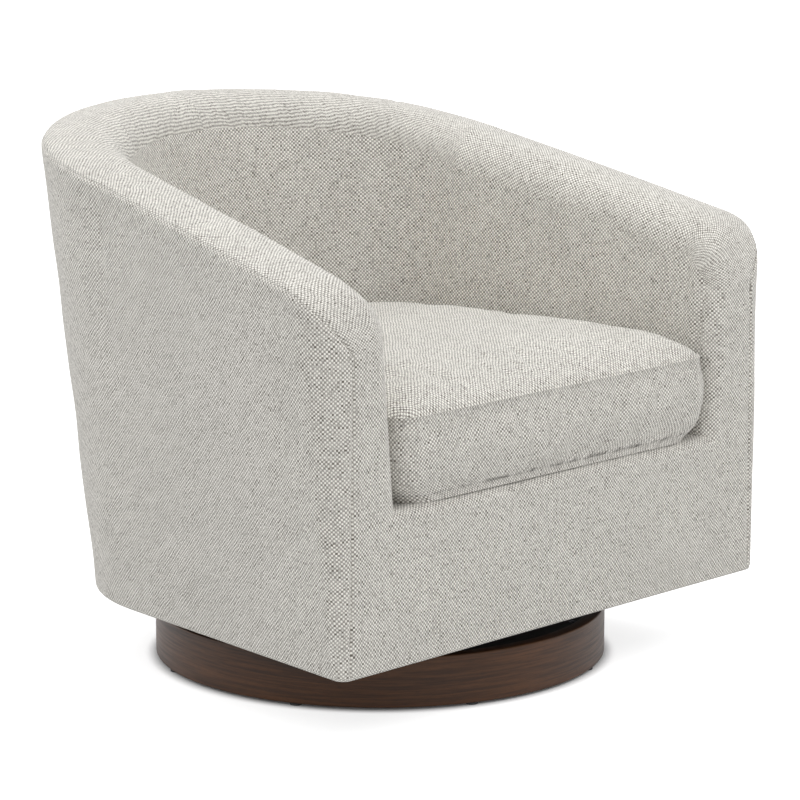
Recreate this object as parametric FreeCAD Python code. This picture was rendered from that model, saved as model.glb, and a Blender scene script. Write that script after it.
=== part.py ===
"""Swivel barrel chair: a round wooden plinth, a ball-bearing swivel and an upholstered horseshoe shell.

The origin is on the floor under the swivel's axis. The chair faces -Y and +Z is up, so the
sitter's right arm is at -X. All sizes are in millimetres and all angles in degrees.
"""
import FreeCAD
import Part
import math
import os
from FreeCAD import Vector

# Fits
FIT = 0.3
TOUCH = 0.05
PROUD = 0.4
OVERSHOOT = 2.0

# Plinth
PLINTH_DIAMETER = 600.0
PLINTH_HEIGHT = 66.0
PLINTH_WALL = 18.0
PLINTH_EDGE_ROUND = 2.5
TOP_PANEL_RECESS = 6.0
TOP_PANEL_THICKNESS = 18.0
CROSS_RAIL_THICKNESS = 18.0
GLUE_BLOCK_COUNT = 8
GLUE_BLOCK_WIDTH = 60.0
GLUE_BLOCK_DEPTH = 22.0
GLUE_BLOCK_HEIGHT = 26.0
GLIDE_COUNT = 8
GLIDE_DIAMETER = 16.0
GLIDE_THICKNESS = 3.0
GLIDE_NAIL_DIAMETER = 2.4
GLIDE_NAIL_LENGTH = 12.0
PANEL_SCREW_DIAMETER = 4.5
PANEL_SCREW_LENGTH = 34.0

# Swivel
PLATE_SIDE = 300.0
PLATE_THICKNESS = 3.0
PLATE_CORNER_RADIUS = 14.0
SWIVEL_HEIGHT = 34.0
RACE_RADIUS = 105.0
BALL_DIAMETER = 10.0
BALL_COUNT = 24
BALL_PLAY = 0.15
RACE_GAP = 5.0
RACE_LIP = 5.0
RACE_FOOT = 12.0
CAGE_THICKNESS = 2.0
CAGE_WIDTH = 18.0
HUB_RADIUS = 28.0
HUB_FOOT = 12.0
HUB_WASHER = 1.0
RIVET_RADIUS = 11.0
RIVET_BORE = 7.0
RIVET_FLANGE = 4.5
RIVET_FLANGE_THICKNESS = 2.0
RIVET_PLAY = 0.08
PLATE_BOLT_RADIUS = 4.0
PLATE_BOLT_EDGE = 18.0
PLATE_BOLT_HEAD_RADIUS = 7.5
PLATE_BOLT_HEAD_HEIGHT = 4.0
TEE_NUT_FLANGE_RADIUS = 11.0
TEE_NUT_FLANGE_THICKNESS = 1.6
TEE_NUT_BARREL_RADIUS = 5.5
TEE_NUT_BARREL_LENGTH = 9.0

# Shell plan, at the seat box's lower edge
FRONT_HALF_WIDTH = 398.0
FRONT_DEPTH = 321.0
BACK_DEPTH = 377.0
ARM_TOE_IN = 7.5
SHOULDER_RADIUS = 256.0
BACK_RADIUS = 386.0

# Shell heights and lean
PLINTH_GAP = 25.0
DECK_HEIGHT = 290.0
ARM_SEAM_HEIGHT = 553.0
BACK_SEAM_HEIGHT = 705.0
CREST_POWER = 1.07
SIDE_LEAN = 0.073
BACK_LEAN = 0.121
ARM_INNER_LEAN = 0.085
BACK_INNER_LEAN = 0.16

# Arm and back roll
CROWN_INSET = 60.0
CROWN_RISE = 10.0
ROLL_RADIUS = 55.0
FRONT_TOP_RADIUS = 100.0
CORNER_RADIUS_LOW = 15.0
CORNER_RADIUS_HIGH = 55.0
CORNER_RADIUS_REACH = 460.0
FRONT_EDGE_RADIUS = 14.0

# Shell layers
COVER_THICKNESS = 1.6
WADDING_THICKNESS = 5.5
BOARD_THICKNESS = 4.0
FRONT_PAD_THICKNESS = 16.0
POST_THICKNESS = 24.0
FRONT_COVER_DEPTH = 110.0
WEBBING_THICKNESS = 1.5
TACK_STRIP_THICKNESS = 2.0
TACK_STRIP_HEIGHT = 13.0
ROLL_FOAM_DEPTH = 36.0
INNER_LINING_DEPTH = 34.0

# Wooden frame
BASE_BOARD_THICKNESS = 18.0
TOP_RAIL_THICKNESS = 18.0
TOP_RAIL_WIDTH = 30.0
RIB_WIDTH = 25.0
RIB_DEPTH = 21.0
RIB_ANGLES = (12.0, 38.0, 64.0, 90.0)
RIB_SIDE_SHARES = (0.33, 0.72)
SEAT_RING_WIDTH = 25.0
SEAT_RING_THICKNESS = 18.0
RAIL_TOP = 250.0
RAIL_THICKNESS = 25.0
SIDE_RAIL_OUTER = 250.0
BACK_RAIL_FRONT = 190.0
CORNER_BLOCK_LEG = 60.0
CORNER_BLOCK_HEIGHT = 45.0
FRAME_SCREW_RADIUS = 2.5
FRAME_SCREW_LENGTH = 45.0
FRAME_SCREW_HEAD_RADIUS = 5.0
FRAME_SCREW_HEAD_DEPTH = 4.0
FRONT_SCREW_SPACING = 200.0
BACK_SCREW_SPACING = 180.0
SIDE_SCREW_SPOTS = (-180.0, 60.0)

# Springs and deck
SPRING_COUNT = 5
SPRING_SPACING = 80.0
SPRING_WIRE = 4.0
SPRING_BEND_RADIUS = 12.0
SPRING_HALF_WIDTH = 24.0
CLIP_WIDTH = 30.0
CLIP_DEPTH = 16.0
CLIP_STRAP = 1.5
DECK_LINING_THICKNESS = 1.0
DECK_PAD_THICKNESS = 28.0
DUST_COVER_THICKNESS = 0.7

# Seat cushion
CUSHION_SIDE_GAP = 1.5
CUSHION_BORDER = 111.0
CUSHION_TOP_SPREAD = 7.0
CUSHION_CROWN = 42.0
CUSHION_CORNER = 34.0
CUSHION_BULGE = 5.0
CUSHION_FRONT_PROUD = 4.0
CUSHION_WRAP_THICKNESS = 14.0
CUSHION_LIFT = 0.3
CUSHION_BULGE_SHARES = ((0.0, 0.0), (0.22, 0.75), (0.5, 1.0), (0.78, 0.75), (1.0, 0.0))
CUSHION_CROWN_SCALES = (1.0, 0.955, 0.87, 0.72, 0.5, 0.24)
CUSHION_CROWN_POWER = 5.0

# Worked out from the sizes above
PLINTH_RADIUS = PLINTH_DIAMETER / 2
RING_TOP = GLIDE_THICKNESS + PLINTH_HEIGHT
PANEL_TOP = RING_TOP - TOP_PANEL_RECESS
PANEL_LOW = PANEL_TOP - TOP_PANEL_THICKNESS
PANEL_RADIUS = PLINTH_RADIUS - PLINTH_WALL - TOUCH
BOX_LOW = RING_TOP + PLINTH_GAP
BOARD_LOW = PANEL_TOP + SWIVEL_HEIGHT
BOARD_TOP = BOARD_LOW + BASE_BOARD_THICKNESS
SWIVEL_MID = PANEL_TOP + SWIVEL_HEIGHT / 2
FRONT_Y = -FRONT_DEPTH
UNDER_COVER = COVER_THICKNESS + FIT
BOARD_FACE = UNDER_COVER + WADDING_THICKNESS + FIT
FRAME_INSET = BOARD_FACE + BOARD_THICKNESS + FIT
POST_FRONT = UNDER_COVER + FRONT_PAD_THICKNESS + FIT
POST_BACK = POST_FRONT + POST_THICKNESS
LINING_FACE = FRAME_INSET + INNER_LINING_DEPTH
FOAM_FACE = LINING_FACE + WEBBING_THICKNESS + FIT
CLOTH_LOW = DECK_HEIGHT - COVER_THICKNESS
PAD_TOP = CLOTH_LOW - FIT
PAD_LOW = PAD_TOP - DECK_PAD_THICKNESS
SPRING_Z = RAIL_TOP + CLIP_STRAP + FIT + SPRING_WIRE / 2
CLIP_TOP = SPRING_Z + SPRING_WIRE / 2 + FIT + CLIP_STRAP
FOAM_LOW = RAIL_TOP + 2 * FIT
CUSHION_LOW = DECK_HEIGHT + CUSHION_LIFT
FAR = 900.0
RIB_TOOL_REACH = 110.0
SIDE_STATIONS = 8
SHOULDER_STATIONS = 3
BACK_STATIONS = 4

PARTS = "parts"


def unit(angle):
    """Direction in plan at an angle from +X."""
    a = math.radians(angle)
    return Vector(math.cos(a), math.sin(a), 0)


def save(name, shape):
    """Write one node, as a single solid or as a group of solids."""
    solids = shape.Solids
    body = solids[0] if len(solids) == 1 else Part.makeCompound(solids)
    body.exportStep(os.path.join(PARTS, name + ".step"))
    volume = sum(s.Volume for s in solids)
    box = body.optimalBoundingBox(False, False)
    print("%-22s %3d solids %12.0f mm3 valid %s  z %.1f to %.1f" % (
        name, len(solids), volume, body.isValid(), box.ZMin, box.ZMax))


def block(x0, x1, y0, y1, z0, z1):
    """Box between two corners."""
    return Part.makeBox(x1 - x0, y1 - y0, z1 - z0, Vector(x0, y0, z0))


def rod(radius, x, y, z0, z1):
    """Upright cylinder."""
    return Part.makeCylinder(radius, z1 - z0, Vector(x, y, z0))


def tube(outer, inner, z0, z1):
    """Upright ring about the swivel's axis."""
    return rod(outer, 0, 0, z0, z1).cut(rod(inner, 0, 0, z0 - 1, z1 + 1))


def turned(points):
    """Solid turned about Z from (radius, height) points joined by lines, or by arcs through a third point."""
    edges = []
    at = points[0]
    for step in points[1:] + [points[0]]:
        if len(step) == 4:
            mid, end = step[:2], step[2:]
            arc = Part.Arc(Vector(at[0], 0, at[1]), Vector(mid[0], 0, mid[1]), Vector(end[0], 0, end[1]))
            edges.append(arc.toShape())
            at = end
        elif step[:2] != at:
            edges.append(Part.makeLine(Vector(at[0], 0, at[1]), Vector(step[0], 0, step[1])))
            at = step
    face = Part.Face(Part.Wire(edges))
    return face.revolve(Vector(0, 0, 0), Vector(0, 0, 1), 360)


def mirror_x(shape):
    """The same shape on the other side of the chair."""
    return shape.mirror(Vector(0, 0, 0), Vector(1, 0, 0))


def group(shapes):
    """Several solids as one node."""
    solids = []
    for shape in shapes:
        solids.extend(shape.Solids)
    return Part.makeCompound(solids)


def piece_at(shape, x, y, z):
    """The solid of a cut shape that holds a point."""
    point = Vector(x, y, z)
    for solid in shape.Solids:
        if solid.isInside(point, 0.01, True):
            return solid
    raise ValueError("no solid at %s" % point)


class Plan:
    """Horseshoe line in plan: a toed-in side, a shoulder arc and a back arc, tangent to each other."""

    def __init__(self):
        """Work out the tangent chain of the right half."""
        self.toe = ARM_TOE_IN
        self.corner = Vector(FRONT_HALF_WIDTH, FRONT_Y, 0)
        self.along = unit(self.toe + 90)
        inward = unit(self.toe + 180)
        self.back_centre = Vector(0, BACK_DEPTH - BACK_RADIUS, 0)
        q = self.corner + inward * SHOULDER_RADIUS - self.back_centre
        b = q.dot(self.along)
        gap = BACK_RADIUS - SHOULDER_RADIUS
        self.side_length = -b + math.sqrt(b * b - q.dot(q) + gap * gap)
        self.shoulder_centre = self.corner + self.along * self.side_length + inward * SHOULDER_RADIUS
        d = self.shoulder_centre - self.back_centre
        self.join = math.degrees(math.atan2(d.y, d.x))

    def side(self, distance):
        """Point and outward angle on the side, at a distance from the front corner."""
        return self.corner + self.along * distance, self.toe

    def round_part(self, angle):
        """Point and outward angle on the shoulder or the back."""
        if angle <= self.join:
            return self.shoulder_centre + unit(angle) * SHOULDER_RADIUS, angle
        return self.back_centre + unit(angle) * BACK_RADIUS, angle

    def stations(self):
        """Evenly spaced places along the whole horseshoe, from the left arm round to the right."""
        start = -FRONT_COVER_DEPTH / 2
        half = []
        for i in range(SIDE_STATIONS):
            half.append(self.side(start + (self.side_length - start) * i / SIDE_STATIONS))
        for i in range(SHOULDER_STATIONS):
            half.append(self.round_part(self.toe + (self.join - self.toe) * i / SHOULDER_STATIONS))
        for i in range(BACK_STATIONS):
            half.append(self.round_part(self.join + (90 - self.join) * i / BACK_STATIONS))
        other = [(Vector(-p.x, p.y, 0), 180 - a) for p, a in reversed(half)]
        return half + [self.round_part(90.0)] + other

    def outline(self, inset, front, corner, z, scale=1.0):
        """Closed D-shaped wire, inset from the horseshoe, with a straight rounded front."""
        side_normal = unit(self.toe)
        base = self.corner - side_normal * inset
        run = (front - base.y) / self.along.y
        tip = base + self.along * run
        bend = 90 + self.toe
        back_off = corner * math.tan(math.radians(bend / 2))
        p1 = Vector(tip.x - back_off, front, 0)
        centre = p1 + Vector(0, corner, 0)
        p2 = tip + self.along * back_off
        arc_mid = centre + unit(self.toe - bend / 2) * corner
        p3 = self.shoulder_centre + side_normal * (SHOULDER_RADIUS - inset)
        p4 = self.shoulder_centre + unit(self.join) * (SHOULDER_RADIUS - inset)
        shoulder_mid = self.shoulder_centre + unit((self.toe + self.join) / 2) * (SHOULDER_RADIUS - inset)
        top = self.back_centre + unit(90) * (BACK_RADIUS - inset)
        right = [("line", p1, p1), ("arc", p1, arc_mid, p2), ("line", p2, p3), ("arc", p3, shoulder_mid, p4)]
        flip = [Vector(-p.x, p.y, 0) for p in (p1, arc_mid, p2, p3, shoulder_mid, p4)]
        f1, fmid, f2, f3, fshoulder, f4 = flip
        steps = [("line", f1, p1)] + right[1:] + [
            ("arc", p4, top, f4), ("arc", f4, fshoulder, f3), ("line", f3, f2), ("arc", f2, fmid, f1)]
        middle = Vector(0, (front + top.y) / 2, 0)
        edges = []
        for step in steps:
            points = [middle + (p - middle) * scale + Vector(0, 0, z) for p in step[1:]]
            if step[0] == "line":
                edges.append(Part.makeLine(points[0], points[1]))
            else:
                edges.append(Part.Arc(points[0], points[1], points[2]).toShape())
        return Part.Wire(edges)

    def plate(self, inset, front, corner, z0, z1):
        """D-shaped plate between two heights."""
        face = Part.Face(self.outline(inset, front, corner, z0))
        return face.extrude(Vector(0, 0, z1 - z0))


PLAN = Plan()


def round_share(angle):
    """Share of the way from the side's angle to the middle of the back, as a smooth value."""
    low = math.sin(math.radians(PLAN.toe))
    return (math.sin(math.radians(angle)) - low) / (1 - low)


def outer_lean(angle):
    """Outward lean of the outer wall per millimetre of height."""
    return SIDE_LEAN + (BACK_LEAN - SIDE_LEAN) * round_share(angle)


def inner_lean(angle):
    """Inward lean of the inner wall per millimetre down."""
    return ARM_INNER_LEAN + (BACK_INNER_LEAN - ARM_INNER_LEAN) * round_share(angle)


def seam_height(y):
    """Height of the outer seam where the horseshoe line has a given depth."""
    share = (y - FRONT_Y) / (BACK_DEPTH - FRONT_Y)
    return ARM_SEAM_HEIGHT + (BACK_SEAM_HEIGHT - ARM_SEAM_HEIGHT) * (1 - (1 - share) ** CREST_POWER)


def wall_at(angle, z, inset):
    """Distance in from the horseshoe line to a layer of the outer wall at a height."""
    return inset - outer_lean(angle) * (z - BOX_LOW)


def section_wire(point, angle, steps):
    """Closed wire in the upright plane across the horseshoe, from lines and arcs in (inset, height)."""
    inward = unit(angle + 180)

    def lift(q):
        return point + inward * q[0] + Vector(0, 0, q[1])

    edges = []
    at = steps[0]
    for step in steps[1:] + [steps[0]]:
        if len(step) == 4:
            edges.append(Part.Arc(lift(at), lift(step[:2]), lift(step[2:])).toShape())
            at = step[2:]
        else:
            edges.append(Part.makeLine(lift(at), lift(step)))
            at = step
    return Part.Wire(edges)


def roll_points(angle, seam, wall_inset, roll_inset):
    """Outer corner, crown and inner shoulder of the padded roll, set in by the two insets."""
    crown_n = wall_at(angle, seam, 0) + CROWN_INSET
    crown_z = seam + CROWN_RISE
    big = (CROWN_INSET ** 2 + CROWN_RISE ** 2) / (2 * CROWN_RISE)
    big_z = crown_z - big
    r = big - roll_inset
    lean = outer_lean(angle)
    a = lean * BOX_LOW + wall_inset - crown_n
    qa = 1 + lean * lean
    qb = -2 * (a * lean + big_z)
    qc = a * a + big_z * big_z - r * r
    z = (-qb + math.sqrt(qb * qb - 4 * qa * qc)) / (2 * qa)
    corner = (a - lean * z + crown_n, z)
    start = math.atan2(corner[1] - big_z, corner[0] - crown_n)
    mid = (start + math.pi / 2) / 2
    corner_mid = (crown_n + r * math.cos(mid), big_z + r * math.sin(mid))
    crown = (crown_n, crown_z - roll_inset)
    small = ROLL_RADIUS - roll_inset
    small_z = crown_z - ROLL_RADIUS
    end = math.atan(inner_lean(angle))
    half = (end + math.pi / 2) / 2
    roll_mid = (crown_n + small * math.cos(half), small_z + small * math.sin(half))
    shoulder = (crown_n + small * math.cos(end), small_z + small * math.sin(end))
    return corner, corner_mid, crown, roll_mid, shoulder


def roll_section(point, angle, wall_inset, roll_inset, low):
    """Whole section of the shell, from the outer wall over the roll to the inner wall."""
    seam = seam_height(point.y)
    back_angle = angle if angle <= 90 else 180 - angle
    corner, corner_mid, crown, roll_mid, shoulder = roll_points(back_angle, seam, wall_inset, roll_inset)
    foot = (shoulder[0] + inner_lean(back_angle) * (shoulder[1] - low), low)
    start = (wall_at(back_angle, low, wall_inset), low)
    return section_wire(point, angle, [start, corner, corner_mid + crown, roll_mid + shoulder, foot])


def loft(wires):
    """Smooth solid through closed wires."""
    return Part.makeLoft(wires, True, False)


def strip(inset0, inset1, below_seam, low=None, height=None):
    """Layer along the whole outer wall, up to a distance under the seam, from a level or of one height."""
    wires = []
    for point, angle in PLAN.stations():
        turn = angle if angle <= 90 else 180 - angle
        top = seam_height(point.y) - below_seam
        bottom = top - height if low is None else low
        wires.append(section_wire(point, angle, [
            (wall_at(turn, bottom, inset0), bottom), (wall_at(turn, top, inset0), top),
            (wall_at(turn, top, inset1), top), (wall_at(turn, bottom, inset1), bottom)]))
    return loft(wires)


def side_tool(roll_inset):
    """Side profile with the front plane and the rounded top of the arm's front."""
    slope = (seam_height(FRONT_Y + 1) - seam_height(FRONT_Y))
    theta = math.atan(slope)
    radius = FRONT_TOP_RADIUS
    reach = radius * (1 - math.sin(theta))
    crest = ARM_SEAM_HEIGHT + CROWN_RISE + PROUD + slope * reach
    centre_y = FRONT_Y + radius
    centre_z = crest - radius * math.cos(theta)
    r = radius - roll_inset

    def at(angle):
        return Vector(-FAR, centre_y + r * math.cos(angle), centre_z + r * math.sin(angle))

    front_low = Vector(-FAR, FRONT_Y + roll_inset, -FAR)
    end = at(math.pi / 2 + theta)
    edges = [
        Part.makeLine(front_low, at(math.pi)),
        Part.Arc(at(math.pi), at((3 * math.pi / 2 + theta) / 2), end).toShape(),
        Part.makeLine(end, Vector(-FAR, end.y, FAR)),
        Part.makeLine(Vector(-FAR, end.y, FAR), Vector(-FAR, FAR, FAR)),
        Part.makeLine(Vector(-FAR, FAR, FAR), Vector(-FAR, FAR, -FAR)),
        Part.makeLine(Vector(-FAR, FAR, -FAR), front_low)]
    return Part.Face(Part.Wire(edges)).extrude(Vector(2 * FAR, 0, 0))


def corner_radius(z):
    """Plan radius of the arm's front outer corner, which grows with height."""
    share = (z - BOX_LOW) / CORNER_RADIUS_REACH
    return CORNER_RADIUS_LOW + (CORNER_RADIUS_HIGH - CORNER_RADIUS_LOW) * share


def plan_tool(wall_inset):
    """Solid whose rounded front corners trim the two arms."""
    wires = []
    low = BOX_LOW - 3 * OVERSHOOT
    for z in (low, BACK_SEAM_HEIGHT + ROLL_RADIUS):
        radius = corner_radius(z)
        normal = unit(PLAN.toe)
        face = PLAN.corner + normal * (SIDE_LEAN * (z - BOX_LOW) + PROUD)
        front = FRONT_Y - PROUD
        tip = face + PLAN.along * ((front - face.y) / PLAN.along.y)
        bend = 90 + PLAN.toe
        back_off = radius * math.tan(math.radians(bend / 2))
        centre = Vector(tip.x - back_off, front + radius, 0)
        r = radius - wall_inset
        start = centre + unit(-90) * r
        mid = centre + unit(PLAN.toe - bend / 2) * r
        end = centre + normal * r
        out = end + normal * FAR
        right = [start, mid, end, out, Vector(out.x, FAR, 0)]
        lift = Vector(0, 0, z)
        start, mid, end, out, far = [p + lift for p in right]
        left = [Vector(-p.x, p.y, p.z) for p in (start, mid, end, out, far)]
        wires.append(Part.Wire([
            Part.makeLine(left[0], start), Part.Arc(start, mid, end).toShape(),
            Part.makeLine(end, out), Part.makeLine(out, far), Part.makeLine(far, left[4]),
            Part.makeLine(left[4], left[3]), Part.makeLine(left[3], left[2]),
            Part.Arc(left[2], left[1], left[0]).toShape()]))
    return Part.makeLoft(wires, True, True)


def shell(wall_inset, roll_inset, low):
    """Volume of the padded horseshoe, set in by one amount at the wall and another elsewhere."""
    wires = [roll_section(p, a, wall_inset, roll_inset, low) for p, a in PLAN.stations()]
    return loft(wires).common(side_tool(roll_inset)).common(plan_tool(wall_inset))


def front_box(inset, low, depth):
    """Volume under the deck's front edge, between the arms."""
    half = FRONT_HALF_WIDTH - CORNER_RADIUS_HIGH - CORNER_RADIUS_LOW
    y = FRONT_Y + inset
    top = DECK_HEIGHT - inset
    back = FRONT_Y + depth
    r = FRONT_EDGE_RADIUS - inset
    if r <= 0:
        return block(-half, half, y, back, low, top)
    turn = r * (1 - math.sqrt(0.5))
    points = [Vector(-half, y, low), Vector(-half, y, top - r), Vector(-half, y + turn, top - turn),
              Vector(-half, y + r, top), Vector(-half, back, top), Vector(-half, back, low)]
    edges = [Part.makeLine(points[0], points[1]), Part.Arc(points[1], points[2], points[3]).toShape(),
             Part.makeLine(points[3], points[4]), Part.makeLine(points[4], points[5]),
             Part.makeLine(points[5], points[0])]
    return Part.Face(Part.Wire(edges)).extrude(Vector(2 * half, 0, 0))


def ahead_of(y, low=-FAR, high=FAR):
    """Everything in front of a plane."""
    return block(-FAR, FAR, -FAR, y, low, high)


def behind(y, low=-FAR, high=FAR):
    """Everything behind a plane."""
    return block(-FAR, FAR, y, FAR, low, high)


def make_plinth():
    """Round plinth: ring, recessed panel, cross rails, glue blocks, glides and screws."""
    ring = tube(PLINTH_RADIUS, PLINTH_RADIUS - PLINTH_WALL, GLIDE_THICKNESS, RING_TOP)
    rims = [e for e in ring.Edges if len(e.Vertexes) == 1 and abs(e.BoundBox.XMax - PLINTH_RADIUS) < 0.01]
    ring = ring.makeFillet(PLINTH_EDGE_ROUND, rims)
    panel = rod(PANEL_RADIUS, 0, 0, PANEL_LOW, PANEL_TOP)

    reach = PLINTH_RADIUS - PLINTH_WALL - FIT
    half = CROSS_RAIL_THICKNESS / 2
    rail_low = GLIDE_THICKNESS
    rail_top = PANEL_LOW - TOUCH
    inside = rod(reach, 0, 0, rail_low, rail_top)
    rail_mid = (rail_low + rail_top) / 2
    slot = half + TOUCH
    long_rail = block(-half, half, -FAR, FAR, rail_low, rail_top).common(inside)
    long_rail = long_rail.cut(block(-slot, slot, -slot, slot, rail_mid - TOUCH, rail_top + 1))
    wide_rail = block(-FAR, FAR, -half, half, rail_low, rail_top).common(inside)
    wide_rail = wide_rail.cut(block(-slot, slot, -slot, slot, rail_low - 1, rail_mid + TOUCH))

    blocks, glides, screws = [], [], []
    block_low = rail_top - GLUE_BLOCK_HEIGHT
    turn = 360.0 / GLUE_BLOCK_COUNT
    for i in range(GLUE_BLOCK_COUNT):
        angle = turn * (i + 0.5)
        body = block(reach - GLUE_BLOCK_DEPTH, FAR, -GLUE_BLOCK_WIDTH / 2, GLUE_BLOCK_WIDTH / 2, block_low, rail_top)
        body = body.common(rod(reach, 0, 0, block_low, rail_top))
        x = reach - GLUE_BLOCK_DEPTH / 2
        hole = rod(PANEL_SCREW_DIAMETER / 2 + TOUCH, x, 0, PANEL_TOP - PANEL_SCREW_LENGTH - 1, PANEL_TOP + 1)
        head_z = PANEL_TOP - PANEL_SCREW_DIAMETER / 2
        sink = Part.makeCone(PANEL_SCREW_DIAMETER / 2 + TOUCH, PANEL_SCREW_DIAMETER + TOUCH,
                             PANEL_SCREW_DIAMETER / 2, Vector(x, 0, head_z))
        screw = rod(PANEL_SCREW_DIAMETER / 2, x, 0, PANEL_TOP - PANEL_SCREW_LENGTH, head_z)
        screw = screw.fuse(Part.makeCone(PANEL_SCREW_DIAMETER / 2, PANEL_SCREW_DIAMETER,
                                         PANEL_SCREW_DIAMETER / 2, Vector(x, 0, head_z)))
        for shape in (body, hole, sink, screw):
            shape.rotate(Vector(0, 0, 0), Vector(0, 0, 1), angle)
        panel = panel.cut(hole).cut(sink)
        blocks.append(body.cut(hole))
        screws.append(screw.removeSplitter())

    glide_ring = PLINTH_RADIUS - PLINTH_WALL / 2
    spots = [Vector(0, 0, 0)] + [unit(360.0 / GLIDE_COUNT * (i + 0.5)) * glide_ring for i in range(GLIDE_COUNT)]
    for spot in spots:
        nail = rod(GLIDE_NAIL_DIAMETER / 2, spot.x, spot.y, GLIDE_THICKNESS / 2, GLIDE_THICKNESS + GLIDE_NAIL_LENGTH)
        disc = rod(GLIDE_DIAMETER / 2, spot.x, spot.y, 0, GLIDE_THICKNESS)
        foot_rim = [e for e in disc.Edges if e.BoundBox.ZMax < GLIDE_THICKNESS / 2]
        disc = disc.makeFillet(GLIDE_THICKNESS / 3, foot_rim)
        glides.append(disc.fuse(nail).removeSplitter())
        nail_hole = rod(GLIDE_NAIL_DIAMETER / 2 + TOUCH, spot.x, spot.y,
                        GLIDE_THICKNESS - 1, GLIDE_THICKNESS + GLIDE_NAIL_LENGTH + 1)
        ring = ring.cut(nail_hole)
        long_rail = long_rail.cut(nail_hole)
    return {"plinth_ring": ring, "plinth_top_panel": panel, "plinth_cross_rails": group([long_rail, wide_rail]),
            "plinth_glue_blocks": group(blocks), "floor_glides": group(glides), "plinth_screws": group(screws)}


def bolt_spots():
    """Corner bolt places of the square swivel plates."""
    reach = PLATE_SIDE / 2 - PLATE_BOLT_EDGE
    return [(sx * reach, sy * reach) for sx in (-1, 1) for sy in (-1, 1)]


def lower_plate():
    """Pressed square plate with a raised ball race and a raised hub round the rivet."""
    z0 = PANEL_TOP
    z1 = z0 + PLATE_THICKNESS
    race = SWIVEL_MID - RACE_GAP / 2
    ball = BALL_DIAMETER / 2 + BALL_PLAY
    drop = RACE_GAP / 2
    groove = math.sqrt(ball ** 2 - drop ** 2)
    under = ball + PLATE_THICKNESS
    low = drop + PLATE_THICKNESS
    groove_low = math.sqrt(under ** 2 - low ** 2)
    lip = groove + RACE_LIP
    lip_low = lip + 1.0
    foot = lip + RACE_FOOT
    hub = SWIVEL_MID - HUB_WASHER / 2 - TOUCH
    hole = RIVET_RADIUS + RIVET_PLAY
    hub_foot = HUB_RADIUS + HUB_FOOT
    r = RACE_RADIUS
    body = turned([
        (hole, hub - PLATE_THICKNESS), (hole, hub), (HUB_RADIUS, hub), (hub_foot, z1), (r - foot, z1),
        (r - lip, race), (r - groove, race), (r, SWIVEL_MID - ball, r + groove, race), (r + lip, race),
        (r + foot, z1), (r + foot + 1, z1), (r + foot + 1, z0), (r + foot - 1, z0),
        (r + lip_low, race - PLATE_THICKNESS), (r + groove_low, race - PLATE_THICKNESS),
        (r, SWIVEL_MID - under, r - groove_low, race - PLATE_THICKNESS),
        (r - lip_low, race - PLATE_THICKNESS), (r - foot + 1, z0), (hub_foot - 1, z0),
        (HUB_RADIUS - 1, hub - PLATE_THICKNESS)])
    half = PLATE_SIDE / 2
    flat = block(-half, half, -half, half, z0, z1)
    corners = [e for e in flat.Edges if abs(e.BoundBox.ZLength - PLATE_THICKNESS) < 0.01]
    flat = flat.makeFillet(PLATE_CORNER_RADIUS, corners)
    flat = flat.cut(rod(r + foot, 0, 0, z0 - 1, z1 + 1))
    plate = flat.fuse(body).removeSplitter()
    for x, y in bolt_spots():
        plate = plate.cut(rod(PLATE_BOLT_RADIUS + FIT, x, y, z0 - 1, z1 + 1))
    return plate


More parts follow.
